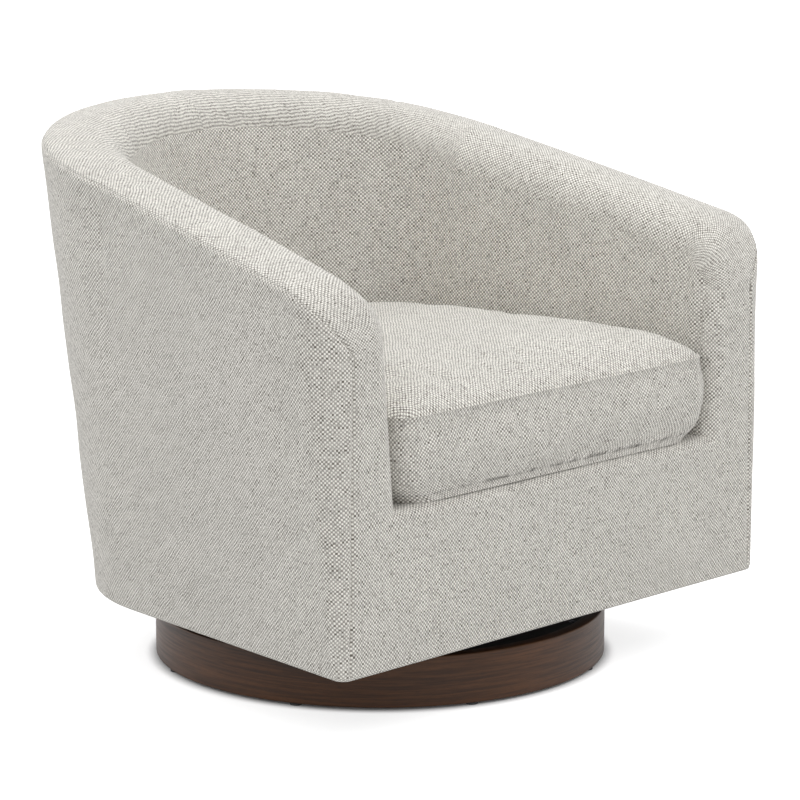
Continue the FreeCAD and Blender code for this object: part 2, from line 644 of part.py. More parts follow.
def make_swivel():
    """Two pressed plates, the balls in their cage, the rivet, its washer and the plates' bolts."""
    lower = lower_plate()
    upper = lower.mirror(Vector(0, 0, SWIVEL_MID), Vector(0, 0, 1))

    cage = tube(RACE_RADIUS + CAGE_WIDTH / 2, RACE_RADIUS - CAGE_WIDTH / 2,
                SWIVEL_MID - CAGE_THICKNESS / 2, SWIVEL_MID + CAGE_THICKNESS / 2)
    balls = []
    for i in range(BALL_COUNT):
        spot = unit(360.0 / BALL_COUNT * i) * RACE_RADIUS
        balls.append(Part.makeSphere(BALL_DIAMETER / 2, Vector(spot.x, spot.y, SWIVEL_MID)))
        cage = cage.cut(rod(BALL_DIAMETER / 2 + BALL_PLAY, spot.x, spot.y, SWIVEL_MID - 5, SWIVEL_MID + 5))

    hub = SWIVEL_MID - HUB_WASHER / 2 - TOUCH
    low = hub - PLATE_THICKNESS
    high = 2 * SWIVEL_MID - low
    top = high + TOUCH
    flange = RIVET_RADIUS + RIVET_FLANGE
    rivet = turned([
        (RIVET_BORE, low - RIVET_FLANGE_THICKNESS), (RIVET_BORE, top + RIVET_FLANGE_THICKNESS),
        (flange, top + RIVET_FLANGE_THICKNESS), (flange, top), (RIVET_RADIUS, top), (RIVET_RADIUS, low),
        (flange, low), (flange, low - RIVET_FLANGE_THICKNESS)])
    washer = tube(HUB_RADIUS - 2, RIVET_RADIUS + RIVET_PLAY,
                  SWIVEL_MID - HUB_WASHER / 2, SWIVEL_MID + HUB_WASHER / 2)

    nut_low = PANEL_LOW - TEE_NUT_FLANGE_THICKNESS
    head_low = PANEL_TOP + PLATE_THICKNESS
    bolts, nuts = [], []
    for x, y in bolt_spots():
        shank = rod(PLATE_BOLT_RADIUS, x, y, nut_low, head_low)
        head = rod(PLATE_BOLT_HEAD_RADIUS, x, y, head_low, head_low + PLATE_BOLT_HEAD_HEIGHT)
        head = head.makeFillet(PLATE_BOLT_HEAD_HEIGHT / 2, [
            e for e in head.Edges if e.BoundBox.ZMin > head_low + PLATE_BOLT_HEAD_HEIGHT - 0.01])
        bolts.append(shank.fuse(head).removeSplitter())
        nut = rod(TEE_NUT_FLANGE_RADIUS, x, y, nut_low, PANEL_LOW)
        nut = nut.fuse(rod(TEE_NUT_BARREL_RADIUS, x, y, PANEL_LOW - TOUCH, PANEL_LOW + TEE_NUT_BARREL_LENGTH))
        nut = nut.cut(rod(PLATE_BOLT_RADIUS + TOUCH, x, y, nut_low - 1, PANEL_TOP))
        nuts.append(nut.removeSplitter())
    middle = Vector(0, 0, SWIVEL_MID)
    upper_bolts = [b.mirror(middle, Vector(0, 0, 1)) for b in bolts]
    upper_nuts = [n.mirror(middle, Vector(0, 0, 1)) for n in nuts]
    return {"swivel_lower_plate": lower, "swivel_upper_plate": upper, "ball_cage": cage,
            "bearing_balls": group(balls), "swivel_rivet": rivet, "hub_washer": washer,
            "lower_plate_bolts": group(bolts), "lower_tee_nuts": group(nuts),
            "upper_plate_bolts": group(upper_bolts), "upper_tee_nuts": group(upper_nuts)}


def bolted(panel, z0, z1, nut_z, direction):
    """A wooden panel with holes for the swivel's bolts and their tee nuts."""
    for x, y in bolt_spots():
        panel = panel.cut(rod(PLATE_BOLT_RADIUS + TOUCH, x, y, z0 - 1, z1 + 1))
        a, b = sorted((nut_z - direction, nut_z + direction * (TEE_NUT_BARREL_LENGTH + TOUCH)))
        panel = panel.cut(rod(TEE_NUT_BARREL_RADIUS + TOUCH, x, y, a, b))
    return panel


def make_covers():
    """Outer cover, front cover and inside cover, sewn from the same cloth."""
    low = BOX_LOW
    deep = BOX_LOW - 2 * OVERSHOOT
    outside = shell(0, 0, low)
    lowered = shell(-OVERSHOOT, COVER_THICKNESS + TOUCH, deep)
    core = shell(COVER_THICKNESS, -OVERSHOOT, deep)
    outer = outside.common(lowered).cut(core)

    split = FRONT_Y + FRONT_COVER_DEPTH
    under = shell(-OVERSHOOT, COVER_THICKNESS, deep)
    skin = outside.cut(under)
    inside_low = behind(split, FOAM_LOW, FAR)
    inside = skin.common(inside_low)

    reach = FRONT_COVER_DEPTH + OVERSHOOT
    bulk = outside.common(ahead_of(FRONT_Y + reach)).fuse(front_box(0, low, reach))
    hollow = under.common(ahead_of(FRONT_Y + reach + 1)).fuse(front_box(COVER_THICKNESS, deep, reach + 1))
    front = bulk.cut(hollow).common(ahead_of(split))
    return {"outer_cover": outer, "inside_cover": inside, "front_cover": front}


def make_shell_layers(frame_inner):
    """Front pad, wadding, outer board, tack strip, lining and the three foams of the horseshoe."""
    deep = BOX_LOW + FIT
    back_of_post = FRONT_Y + POST_BACK + FIT
    bulk = shell(UNDER_COVER, UNDER_COVER, deep)
    pad = bulk.common(ahead_of(FRONT_Y + POST_BACK)).fuse(
        front_box(UNDER_COVER, deep, POST_BACK + 1).common(ahead_of(FRONT_Y + POST_BACK)))
    void = frame_inner.common(ahead_of(FRONT_Y + POST_BACK + 1)).fuse(
        front_box(POST_FRONT - FIT, deep - OVERSHOOT, POST_BACK + 1))
    pad = pad.cut(void)

    rear = behind(back_of_post)
    behind_corner = behind(FRONT_Y + CORNER_RADIUS_HIGH + FIT)
    wadding = strip(UNDER_COVER, BOARD_FACE - FIT, ROLL_FOAM_DEPTH + TACK_STRIP_HEIGHT + 2 * FIT, BOX_LOW + 1)
    board = strip(BOARD_FACE, BOARD_FACE + BOARD_THICKNESS, ROLL_FOAM_DEPTH, BOARD_LOW)
    tack = strip(BOARD_FACE - FIT - TACK_STRIP_THICKNESS, BOARD_FACE - FIT, ROLL_FOAM_DEPTH,
                 height=TACK_STRIP_HEIGHT)
    lining = strip(LINING_FACE, LINING_FACE + WEBBING_THICKNESS, ROLL_FOAM_DEPTH, RAIL_TOP + FIT)

    wires = []
    for point, angle in PLAN.stations():
        turn = angle if angle <= 90 else 180 - angle
        seam = seam_height(point.y)
        corner, corner_mid, crown, roll_mid, shoulder = roll_points(turn, seam, UNDER_COVER, UNDER_COVER)
        ledge = seam - ROLL_FOAM_DEPTH + FIT
        foot = (shoulder[0] + inner_lean(turn) * (shoulder[1] - FOAM_LOW), FOAM_LOW)
        wires.append(section_wire(point, angle, [
            (wall_at(turn, ledge, UNDER_COVER), ledge), corner, corner_mid + crown, roll_mid + shoulder, foot,
            (wall_at(turn, FOAM_LOW, FOAM_FACE), FOAM_LOW), (wall_at(turn, ledge, FOAM_FACE), ledge)]))
    foam = loft(wires).common(side_tool(UNDER_COVER)).common(plan_tool(UNDER_COVER))
    split = PLAN.shoulder_centre.y
    arms = foam.common(block(-FAR, FAR, back_of_post, split, -FAR, FAR))
    back = foam.common(behind(split))
    left = piece_at_side(arms, 1)
    right = piece_at_side(arms, -1)
    return {"front_pad": pad, "outer_wadding": wadding.common(behind_corner), "outer_board": board.common(rear),
            "tack_strip": tack.common(rear), "inner_lining": lining.common(rear), "back_foam": back,
            "left_arm_foam": left, "right_arm_foam": right}


def piece_at_side(shape, side):
    """The solid whose middle lies on one side of the chair."""
    for solid in shape.Solids:
        if solid.CenterOfMass.x * side > 0:
            return solid
    raise ValueError("no solid on side %d" % side)


def make_frame(frame_inner):
    """Base board, posts, ribs, top rail, seat ring, rails and corner blocks."""
    rear = behind(FRONT_Y + POST_BACK + FIT)
    board_front = FRONT_Y + POST_FRONT
    base = PLAN.plate(FRAME_INSET, board_front, CORNER_RADIUS_LOW, BOARD_LOW, BOARD_TOP)
    base = bolted(base, BOARD_LOW, BOARD_TOP, BOARD_TOP, -1)

    slab = block(-FAR, FAR, board_front, FRONT_Y + POST_BACK, BOARD_TOP, FAR)
    posts = shell(FRAME_INSET, POST_FRONT, BOX_LOW).common(slab)
    top_rail = strip(FRAME_INSET, FRAME_INSET + TOP_RAIL_WIDTH, ROLL_FOAM_DEPTH, height=TOP_RAIL_THICKNESS)

    rib_band = strip(FRAME_INSET, FRAME_INSET + RIB_DEPTH,
                     ROLL_FOAM_DEPTH + TOP_RAIL_THICKNESS + TOUCH, BOARD_TOP)
    spots = [PLAN.side(PLAN.side_length * share) for share in RIB_SIDE_SHARES]
    spots += [PLAN.round_part(angle) for angle in RIB_ANGLES]
    ribs = []
    for point, angle in spots:
        tool = block(-RIB_TOOL_REACH, RIB_TOOL_REACH, -RIB_WIDTH / 2, RIB_WIDTH / 2, 0, FAR)
        tool.rotate(Vector(0, 0, 0), Vector(0, 0, 1), angle)
        tool.translate(point)
        rib = rib_band.common(tool)
        ribs.append(rib)
        if angle < 90:
            ribs.append(mirror_x(rib))

    ring_face = FRAME_INSET + RIB_DEPTH + FIT
    ring = strip(ring_face, ring_face + SEAT_RING_WIDTH, 0, RAIL_TOP - SEAT_RING_THICKNESS)
    ring = ring.common(behind(FRONT_Y + POST_BACK + FIT, RAIL_TOP - SEAT_RING_THICKNESS, RAIL_TOP))

    rail_back = board_front + RAIL_THICKNESS
    front_rail = block(-FRONT_HALF_WIDTH, FRONT_HALF_WIDTH, board_front, rail_back, BOARD_TOP, RAIL_TOP)
    front_rail = piece_at(front_rail.cut(frame_inner), 0, (board_front + rail_back) / 2, (BOARD_TOP + RAIL_TOP) / 2)
    back_rail = block(-SIDE_RAIL_OUTER, SIDE_RAIL_OUTER, BACK_RAIL_FRONT, BACK_RAIL_FRONT + RAIL_THICKNESS,
                      BOARD_TOP, RAIL_TOP)
    side_rail = block(SIDE_RAIL_OUTER - RAIL_THICKNESS, SIDE_RAIL_OUTER, rail_back, BACK_RAIL_FRONT,
                      BOARD_TOP, RAIL_TOP)
    inner_x = SIDE_RAIL_OUTER - RAIL_THICKNESS
    blocks = []
    for y, way in ((rail_back, 1), (BACK_RAIL_FRONT, -1)):
        tip = Vector(inner_x, y, RAIL_TOP - CORNER_BLOCK_HEIGHT - OVERSHOOT)
        points = [tip, tip + Vector(-CORNER_BLOCK_LEG, 0, 0), tip + Vector(0, way * CORNER_BLOCK_LEG, 0), tip]
        wedge = Part.Face(Part.makePolygon(points)).extrude(Vector(0, 0, CORNER_BLOCK_HEIGHT))
        blocks += [wedge, mirror_x(wedge)]
    return {"base_board": base, "left_arm_post": piece_at_side(posts, 1), "right_arm_post": piece_at_side(posts, -1),
            "top_rail": top_rail.common(rear), "shell_ribs": group(ribs), "seat_ring": ring, "front_rail": front_rail,
            "back_rail": back_rail, "side_rails": group([side_rail, mirror_x(side_rail)]),
            "corner_blocks": group(blocks)}


def add_frame_screws(parts):
    """Countersunk screws up through the base board into the rails and posts."""
    rail_y = FRONT_Y + POST_FRONT + RAIL_THICKNESS / 2
    back_y = BACK_RAIL_FRONT + RAIL_THICKNESS / 2
    side_x = SIDE_RAIL_OUTER - RAIL_THICKNESS / 2
    post_x = FRONT_HALF_WIDTH - FRAME_INSET - CORNER_RADIUS_HIGH
    spots = [(side * FRONT_SCREW_SPACING, rail_y) for side in (-1, 0, 1)]
    spots += [(side * BACK_SCREW_SPACING, back_y) for side in (-1, 0, 1)]
    spots += [(side * side_x, y) for side in (-1, 1) for y in SIDE_SCREW_SPOTS]
    spots += [(side * post_x, FRONT_Y + POST_FRONT + POST_THICKNESS / 2) for side in (-1, 1)]
    holders = ["base_board", "front_rail", "back_rail", "side_rails", "left_arm_post", "right_arm_post"]
    screws = []
    top = BOARD_LOW + FRAME_SCREW_LENGTH
    for x, y in spots:
        shank = rod(FRAME_SCREW_RADIUS, x, y, BOARD_LOW + FRAME_SCREW_HEAD_DEPTH, top)
        head = Part.makeCone(FRAME_SCREW_HEAD_RADIUS, FRAME_SCREW_RADIUS, FRAME_SCREW_HEAD_DEPTH,
                             Vector(x, y, BOARD_LOW))
        screws.append(shank.fuse(head).removeSplitter())
        hole = rod(FRAME_SCREW_RADIUS + TOUCH, x, y, BOARD_LOW - 1, top + 1)
        sink = Part.makeCone(FRAME_SCREW_HEAD_RADIUS + TOUCH, FRAME_SCREW_RADIUS + TOUCH, FRAME_SCREW_HEAD_DEPTH,
                             Vector(x, y, BOARD_LOW))
        for name in holders:
            if parts[name].BoundBox.isInside(Vector(x, y, BOARD_LOW + 5)) or parts[name].BoundBox.isInside(
                    Vector(x, y, top - 1)):
                parts[name] = parts[name].cut(hole).cut(sink)
    parts["frame_screws"] = group(screws)


def spring_wire(x, y0, y1):
    """One sinuous spring: straight runs across, joined by half-circle bends, laid flat."""
    r = SPRING_BEND_RADIUS
    run = SPRING_HALF_WIDTH - SPRING_WIRE / 2 - r
    count = int((y1 - y0) // (2 * r))
    start = (y0 + y1) / 2 - count * r
    edges = []
    for i in range(count + 1):
        side = 1 if i % 2 == 0 else -1
        y = start + 2 * r * i
        edges.append(Part.makeLine(Vector(x - side * run, y, SPRING_Z), Vector(x + side * run, y, SPRING_Z)))
        if i < count:
            a = Vector(x + side * run, y, SPRING_Z)
            b = Vector(x + side * (run + r), y + r, SPRING_Z)
            c = Vector(x + side * run, y + 2 * r, SPRING_Z)
            edges.append(Part.Arc(a, b, c).toShape())
    path = Part.Wire(edges)
    ring = Part.Wire(Part.makeCircle(SPRING_WIRE / 2, Vector(x - run, start, SPRING_Z), Vector(1, 0, 0)))
    return path.makePipeShell([ring], True, False), start, start + 2 * r * count


def spring_clip(x, y, side):
    """Bent strap that holds a spring's end run on the rail, closed at one side of it."""
    w = CLIP_WIDTH / 2
    d = CLIP_DEPTH / 2
    near, far = sorted((side * d, side * (d - CLIP_STRAP)))
    base = block(x - w, x + w, y - d, y + d, RAIL_TOP, RAIL_TOP + CLIP_STRAP)
    top = block(x - w, x + w, y - d, y + d, CLIP_TOP - CLIP_STRAP, CLIP_TOP)
    heel = block(x - w, x + w, y + near, y + far, RAIL_TOP, CLIP_TOP)
    return base.fuse(top).fuse(heel).removeSplitter()


def make_deck(inner_wall):
    """Springs, clips, lining, pad and the cloth of the deck, and the dust cover below."""
    rail_back = FRONT_Y + POST_FRONT + RAIL_THICKNESS
    y0 = rail_back - RAIL_THICKNESS / 2
    y1 = BACK_RAIL_FRONT + RAIL_THICKNESS / 2
    springs, clips = [], []
    for i in range(SPRING_COUNT):
        x = SPRING_SPACING * (i - (SPRING_COUNT - 1) / 2)
        spring, first, last = spring_wire(x, y0, y1)
        springs.append(spring)
        clips.append(spring_clip(x, first, -1))
        clips.append(spring_clip(x, last, 1))

    pad_front = FRONT_Y + POST_BACK + FIT
    cloth_front = FRONT_Y + FRONT_COVER_DEPTH + TOUCH

    def deck_plate(front, low, high):
        raw = behind(front, low, high).cut(inner_wall)
        return piece_at(raw, 0, 0, (low + high) / 2)

    lining = deck_plate(pad_front, CLIP_TOP + FIT, CLIP_TOP + FIT + DECK_LINING_THICKNESS)
    pad = deck_plate(pad_front, PAD_LOW, PAD_TOP)
    cloth = deck_plate(cloth_front, CLOTH_LOW, DECK_HEIGHT)
    half = PLATE_SIDE / 2 + OVERSHOOT
    dust = PLAN.plate(FRAME_INSET, FRONT_Y + POST_FRONT, CORNER_RADIUS_LOW,
                      BOARD_LOW - DUST_COVER_THICKNESS, BOARD_LOW)
    dust = dust.cut(block(-half, half, -half, half, BOX_LOW, BOARD_TOP))
    return {"sinuous_springs": group(springs), "spring_clips": group(clips), "deck_lining": lining,
            "deck_pad": pad, "deck_cloth": cloth, "dust_cover": dust}


def cushion_form(inset):
    """Boxed cushion: bulged border, drawn in at both seams, and a crowned top."""
    side = ARM_INNER_N + CUSHION_SIDE_GAP + inset
    front = FRONT_Y - CUSHION_FRONT_PROUD + inset
    corner = CUSHION_CORNER - inset
    low = CUSHION_LOW + inset
    seam = CUSHION_LOW + CUSHION_BORDER
    height = seam - low
    wires = []
    for share, bulge in CUSHION_BULGE_SHARES:
        out = CUSHION_BULGE * bulge + CUSHION_TOP_SPREAD * share
        wires.append(PLAN.outline(side + CUSHION_BULGE - out, front + CUSHION_BULGE - CUSHION_BULGE * bulge,
                                  corner, low + height * share))
    border = loft(wires)
    crown = CUSHION_CROWN - inset
    rim_inset = side + CUSHION_BULGE - CUSHION_TOP_SPREAD
    wires = []
    flat = CUSHION_CROWN_SCALES[-1]
    for scale in CUSHION_CROWN_SCALES:
        rise = crown * (1 - ((scale - flat) / (1 - flat)) ** CUSHION_CROWN_POWER)
        wires.append(PLAN.outline(rim_inset, front + CUSHION_BULGE, corner, seam + rise, scale))
    return border.fuse(loft(wires)).removeSplitter()


def make_cushion():
    """Loose seat cushion: cover, fibre wrap and foam core."""
    outside = cushion_form(0)
    inside = cushion_form(COVER_THICKNESS)
    wrap = cushion_form(UNDER_COVER)
    core = cushion_form(UNDER_COVER + CUSHION_WRAP_THICKNESS)
    foam = cushion_form(UNDER_COVER + CUSHION_WRAP_THICKNESS + FIT)
    return {"cushion_cover": outside.cut(inside), "cushion_wrap": wrap.cut(core), "cushion_foam": foam}


def inner_wall_inset():
    """Distance in from the horseshoe line to the arm's inner face at the deck."""
    shoulder = roll_points(PLAN.toe, ARM_SEAM_HEIGHT, 0, 0)[4]
    return shoulder[0] + inner_lean(PLAN.toe) * (shoulder[1] - DECK_HEIGHT)


ARM_INNER_N = inner_wall_inset()


def main():
    """Build every node and write it."""
    os.makedirs(PARTS, exist_ok=True)
    parts = make_plinth()
    parts.update(make_swivel())
    parts["plinth_top_panel"] = bolted(parts["plinth_top_panel"], PANEL_LOW, PANEL_TOP, PANEL_LOW, 1)
    parts.update(make_covers())
    frame_inner = shell(FRAME_INSET - FIT, POST_FRONT - FIT, BOX_LOW - OVERSHOOT)
    parts.update(make_shell_layers(frame_inner))
    parts.update(make_frame(frame_inner))
    add_frame_screws(parts)
    inner_wall = shell(-OVERSHOOT, -FIT, BOX_LOW - OVERSHOOT)
    parts.update(make_deck(inner_wall))
    parts.update(make_cushion())
    for name in sorted(parts):
        save(name, parts[name])
    print(len(parts), "nodes")


main()
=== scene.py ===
"""Swivel barrel chair: an upholstered horseshoe shell, a loose boxed cushion and a stained drum plinth.

The frame's solids give every place and size. The shell's shape is a section swept round a horseshoe line,
as in the part's source, so the covers here lie where their solids lie. All sizes are in metres.
"""
from __future__ import annotations

import logging
import math
from dataclasses import dataclass, field
from enum import Enum

import bmesh
import bpy
import numpy as np
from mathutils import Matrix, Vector

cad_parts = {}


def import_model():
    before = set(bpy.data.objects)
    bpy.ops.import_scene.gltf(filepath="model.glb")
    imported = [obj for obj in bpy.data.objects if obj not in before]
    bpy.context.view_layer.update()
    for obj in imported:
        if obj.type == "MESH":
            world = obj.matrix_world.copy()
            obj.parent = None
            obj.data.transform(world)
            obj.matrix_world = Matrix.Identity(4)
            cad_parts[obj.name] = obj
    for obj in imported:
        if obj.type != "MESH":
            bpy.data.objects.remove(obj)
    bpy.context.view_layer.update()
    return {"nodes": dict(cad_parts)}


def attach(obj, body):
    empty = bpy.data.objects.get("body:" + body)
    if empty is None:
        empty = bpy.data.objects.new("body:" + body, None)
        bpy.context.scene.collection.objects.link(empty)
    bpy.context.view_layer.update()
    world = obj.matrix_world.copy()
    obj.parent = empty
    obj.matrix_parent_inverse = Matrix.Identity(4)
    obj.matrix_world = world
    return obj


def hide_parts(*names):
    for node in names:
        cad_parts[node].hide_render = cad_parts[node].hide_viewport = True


LOG = logging.getLogger("barrel_chair")
Array = np.ndarray


SEAM_ROWS = np.array([0, 0.0008, 0.0018, 0.003, 0.0046, 0.0068, 0.010, 0.0135])
SOLVER_STEPS = 44


class Body(Enum):
    """Moving body of the frame that a piece rides on."""

    PLINTH = "plinth"
    SHELL = "seat_shell"
    CUSHION = "seat_cushion"


def smooth(t: Array) -> Array:
    """Ease a share from 0 to 1 in and out."""
    t = np.clip(t, 0.0, 1.0)
    return t * t * (3 - 2 * t)


def radians(degrees: Array) -> Array:
    """Angles in radians."""
    return np.asarray(degrees, float) * math.pi / 180


@dataclass(frozen=True)
class Sway:
    """Soft, repeatable unevenness of stuffed cloth."""

    amplitude: float = 0.001
    seed: int = 1
    longest: float = 0.34
    terms: int = 9

    def at(self, points: Array) -> Array:
        """Height of the unevenness at some points.

        Args:
            points: Places, by 3.

        Returns:
            Heights along the outward normal.
        """
        rng = np.random.default_rng(self.seed)
        total = np.zeros(points.shape[:-1])
        for i in range(self.terms):
            wave = rng.normal(size=3)
            length = self.longest * rng.uniform(0.35, 1.0) / (1 + 0.3 * i)
            wave *= 2 * math.pi / (np.linalg.norm(wave) * length)
            total = total + np.sin(points @ wave + rng.uniform(0, 2 * math.pi)) / (1 + 0.45 * i)
        return total * self.amplitude / 1.8


class ClothMesh:
    """Grids of vertices with a UV map in metres and a share of free movement, gathered into one mesh."""

    def __init__(self) -> None:
        """Start with nothing."""
        self.points: list[Array] = []
        self.faces: list[tuple[int, ...]] = []
        self.uvs: list[Array] = []
        self.loose: list[Array] = []
        self.count = 0

    def grid(self, points: Array, uv: Array, flip: bool = False, close: bool = False,
             loose: Array | None = None) -> None:
        """Add a grid of quads.

        Args:
            points: Rows by columns by 3.
            uv: Rows by columns by 2.
            flip: Turn the faces over.
            close: Join the last column to the first.
            loose: Rows by columns, how freely the cloth may undulate.
        """
        rows, columns = points.shape[:2]
        base = self.count
        self.points.append(points.reshape(-1, 3))
        self.uvs.append(uv.reshape(-1, 2))
        self.loose.append(np.zeros(rows * columns) if loose is None else
                          np.broadcast_to(loose, (rows, columns)).ravel())
        self.count += rows * columns
        last = columns if close else columns - 1
        for r in range(rows - 1):
            for c in range(last):
                d = (c + 1) % columns
                quad = (base + r * columns + c, base + r * columns + d,
                        base + (r + 1) * columns + d, base + (r + 1) * columns + c)
                self.faces.append(quad[::-1] if flip else quad)

    def cap(self, ring: Array, uv: Array, flip: bool = False, loose: float = 0.0) -> None:
        """Close a small ring with triangles to its middle.

        Args:
            ring: Points of the ring by 3.
            uv: Points of the ring by 2.
            flip: Turn the faces over.
            loose: How freely the cloth may undulate.
        """
        base = self.count
        self.points.append(np.vstack([ring, ring.mean(0)]))
        self.uvs.append(np.vstack([uv, uv.mean(0)]))
        n = len(ring)
        self.loose.append(np.full(n + 1, loose))
        self.count += n + 1
        for c in range(n):
            face = (base + c, base + (c + 1) % n, base + n)
            self.faces.append(face[::-1] if flip else face)

    def build(self, name: str, crease: list[Array] | None = None, sway: Sway | None = None,
              merge: float = 2e-5) -> bpy.types.Object:
        """Make the object.

        Args:
            name: Object name.
            crease: Polylines whose edges stay sharp.
            sway: How the cloth undulates where it is loose.
            merge: Distance under which vertices become one.

        Returns:
            The new object, at the origin.
        """
        mesh = bpy.data.meshes.new(name)
        mesh.from_pydata(np.vstack(self.points).tolist(), [], self.faces)
        uv = np.vstack(self.uvs)
        layer = mesh.uv_layers.new(name="cloth")
        corners = np.zeros(len(mesh.loops), np.int32)
        mesh.loops.foreach_get("vertex_index", corners)
        layer.data.foreach_set("uv", uv[corners].astype(np.float32).ravel())
        free = mesh.attributes.new("loose", "FLOAT", "POINT")
        free.data.foreach_set("value", np.concatenate(self.loose).astype(np.float32))
        bm = bmesh.new()
        bm.from_mesh(mesh)
        bmesh.ops.remove_doubles(bm, verts=bm.verts, dist=merge)
        bmesh.ops.dissolve_degenerate(bm, edges=bm.edges, dist=merge / 4)
        marked = {tuple(np.round(p, 5)) for line in crease or [] for p in line}
        for face in bm.faces:
            face.smooth = True
        for edge in bm.edges:
            ends = [tuple(np.round(np.array(v.co), 5)) for v in edge.verts]
            if ends[0] in marked and ends[1] in marked:
                edge.smooth = False
        if sway:
            key = bm.verts.layers.float["loose"]
            bm.normal_update()
            co = np.array([v.co for v in bm.verts])
            free_now = np.array([v[key] for v in bm.verts])
            height = sway.at(co) * free_now
            for vertex, h, n in zip(bm.verts, height, [v.normal.copy() for v in bm.verts]):
                vertex.co += n * float(h)
        bm.to_mesh(mesh)
        bm.free()
        obj = bpy.data.objects.new(name, mesh)
        bpy.context.scene.collection.objects.link(obj)
        return obj


@dataclass(frozen=True)
class Horseshoe:
    """Plan line of the shell: toed-in sides, shoulder arcs and a back arc, tangent to each other."""

    half_width: float = 0.398
    front: float = -0.321
    back: float = 0.377
    toe: float = 7.5
    shoulder_radius: float = 0.256
    back_radius: float = 0.386

    @property
    def corner(self) -> Array:
        """Front corner of the right side."""
        return np.array([self.half_width, self.front])

    @property
    def along(self) -> Array:
        """Direction of the right side, towards the back."""
        return np.array([math.cos(radians(self.toe + 90)), math.sin(radians(self.toe + 90))])

    @property
    def normal(self) -> Array:
        """Outward direction of the right side."""
        return np.array([math.cos(radians(self.toe)), math.sin(radians(self.toe))])

    @property
    def back_centre(self) -> Array:
        """Centre of the back arc."""
        return np.array([0.0, self.back - self.back_radius])

    @property
    def side_length(self) -> float:
        """Length of a straight side."""
        q = self.corner - self.normal * self.shoulder_radius - self.back_centre
        b = float(q @ self.along)
        gap = self.back_radius - self.shoulder_radius
        return -b + math.sqrt(b * b - float(q @ q) + gap * gap)

    @property
    def shoulder_centre(self) -> Array:
        """Centre of the right shoulder arc."""
        return self.corner + self.along * self.side_length - self.normal * self.shoulder_radius

    @property
    def join(self) -> float:
        """Angle at which the shoulder meets the back."""
        d = self.shoulder_centre - self.back_centre
        return math.degrees(math.atan2(d[1], d[0]))

    @property
    def back_half(self) -> float:
        """Half the back arc's length."""
        return self.back_radius * float(radians(90 - self.join))

    @property
    def shoulder_length(self) -> float:
        """Length of a shoulder arc."""
        return self.shoulder_radius * float(radians(self.join - self.toe))

    @property
    def half_length(self) -> float:
        """Length from the middle of the back to a front corner."""
        return self.back_half + self.shoulder_length + self.side_length

    def at(self, s: Array, inset: Array = 0.0) -> tuple[Array, Array, Array, Array]:
        """Plan places on the line, or set in from it.

        Args:
            s: Signed distance from the middle of the back, to the right arm above 0.
            inset: Distance in from the line.

        Returns:
            x, y, the turn of the outward normal in degrees, and y of the line itself.
        """
        s = np.asarray(s, float)
        inset = np.asarray(inset, float)
        far = np.abs(s)
        turn_back = 90 - np.degrees(far / self.back_radius)
        turn_shoulder = self.join - np.degrees((far - self.back_half) / self.shoulder_radius)
        is_back = far <= self.back_half
        is_side = far > self.back_half + self.shoulder_length
        turn = np.where(is_back, turn_back, np.where(is_side, self.toe, turn_shoulder))
        cx = np.where(is_back, self.back_centre[0], self.shoulder_centre[0])
        cy = np.where(is_back, self.back_centre[1], self.shoulder_centre[1])
        radius = np.where(is_back, self.back_radius, self.shoulder_radius)
        a = radians(turn)
        run = self.half_length - far
        line_x = np.where(is_side, self.corner[0] + self.along[0] * run, cx + radius * np.cos(a))
        line_y = np.where(is_side, self.corner[1] + self.along[1] * run, cy + radius * np.sin(a))
        x = line_x - np.cos(a) * inset
        y = line_y - np.sin(a) * inset
        return np.where(s < 0, -x, x), y, turn, line_y


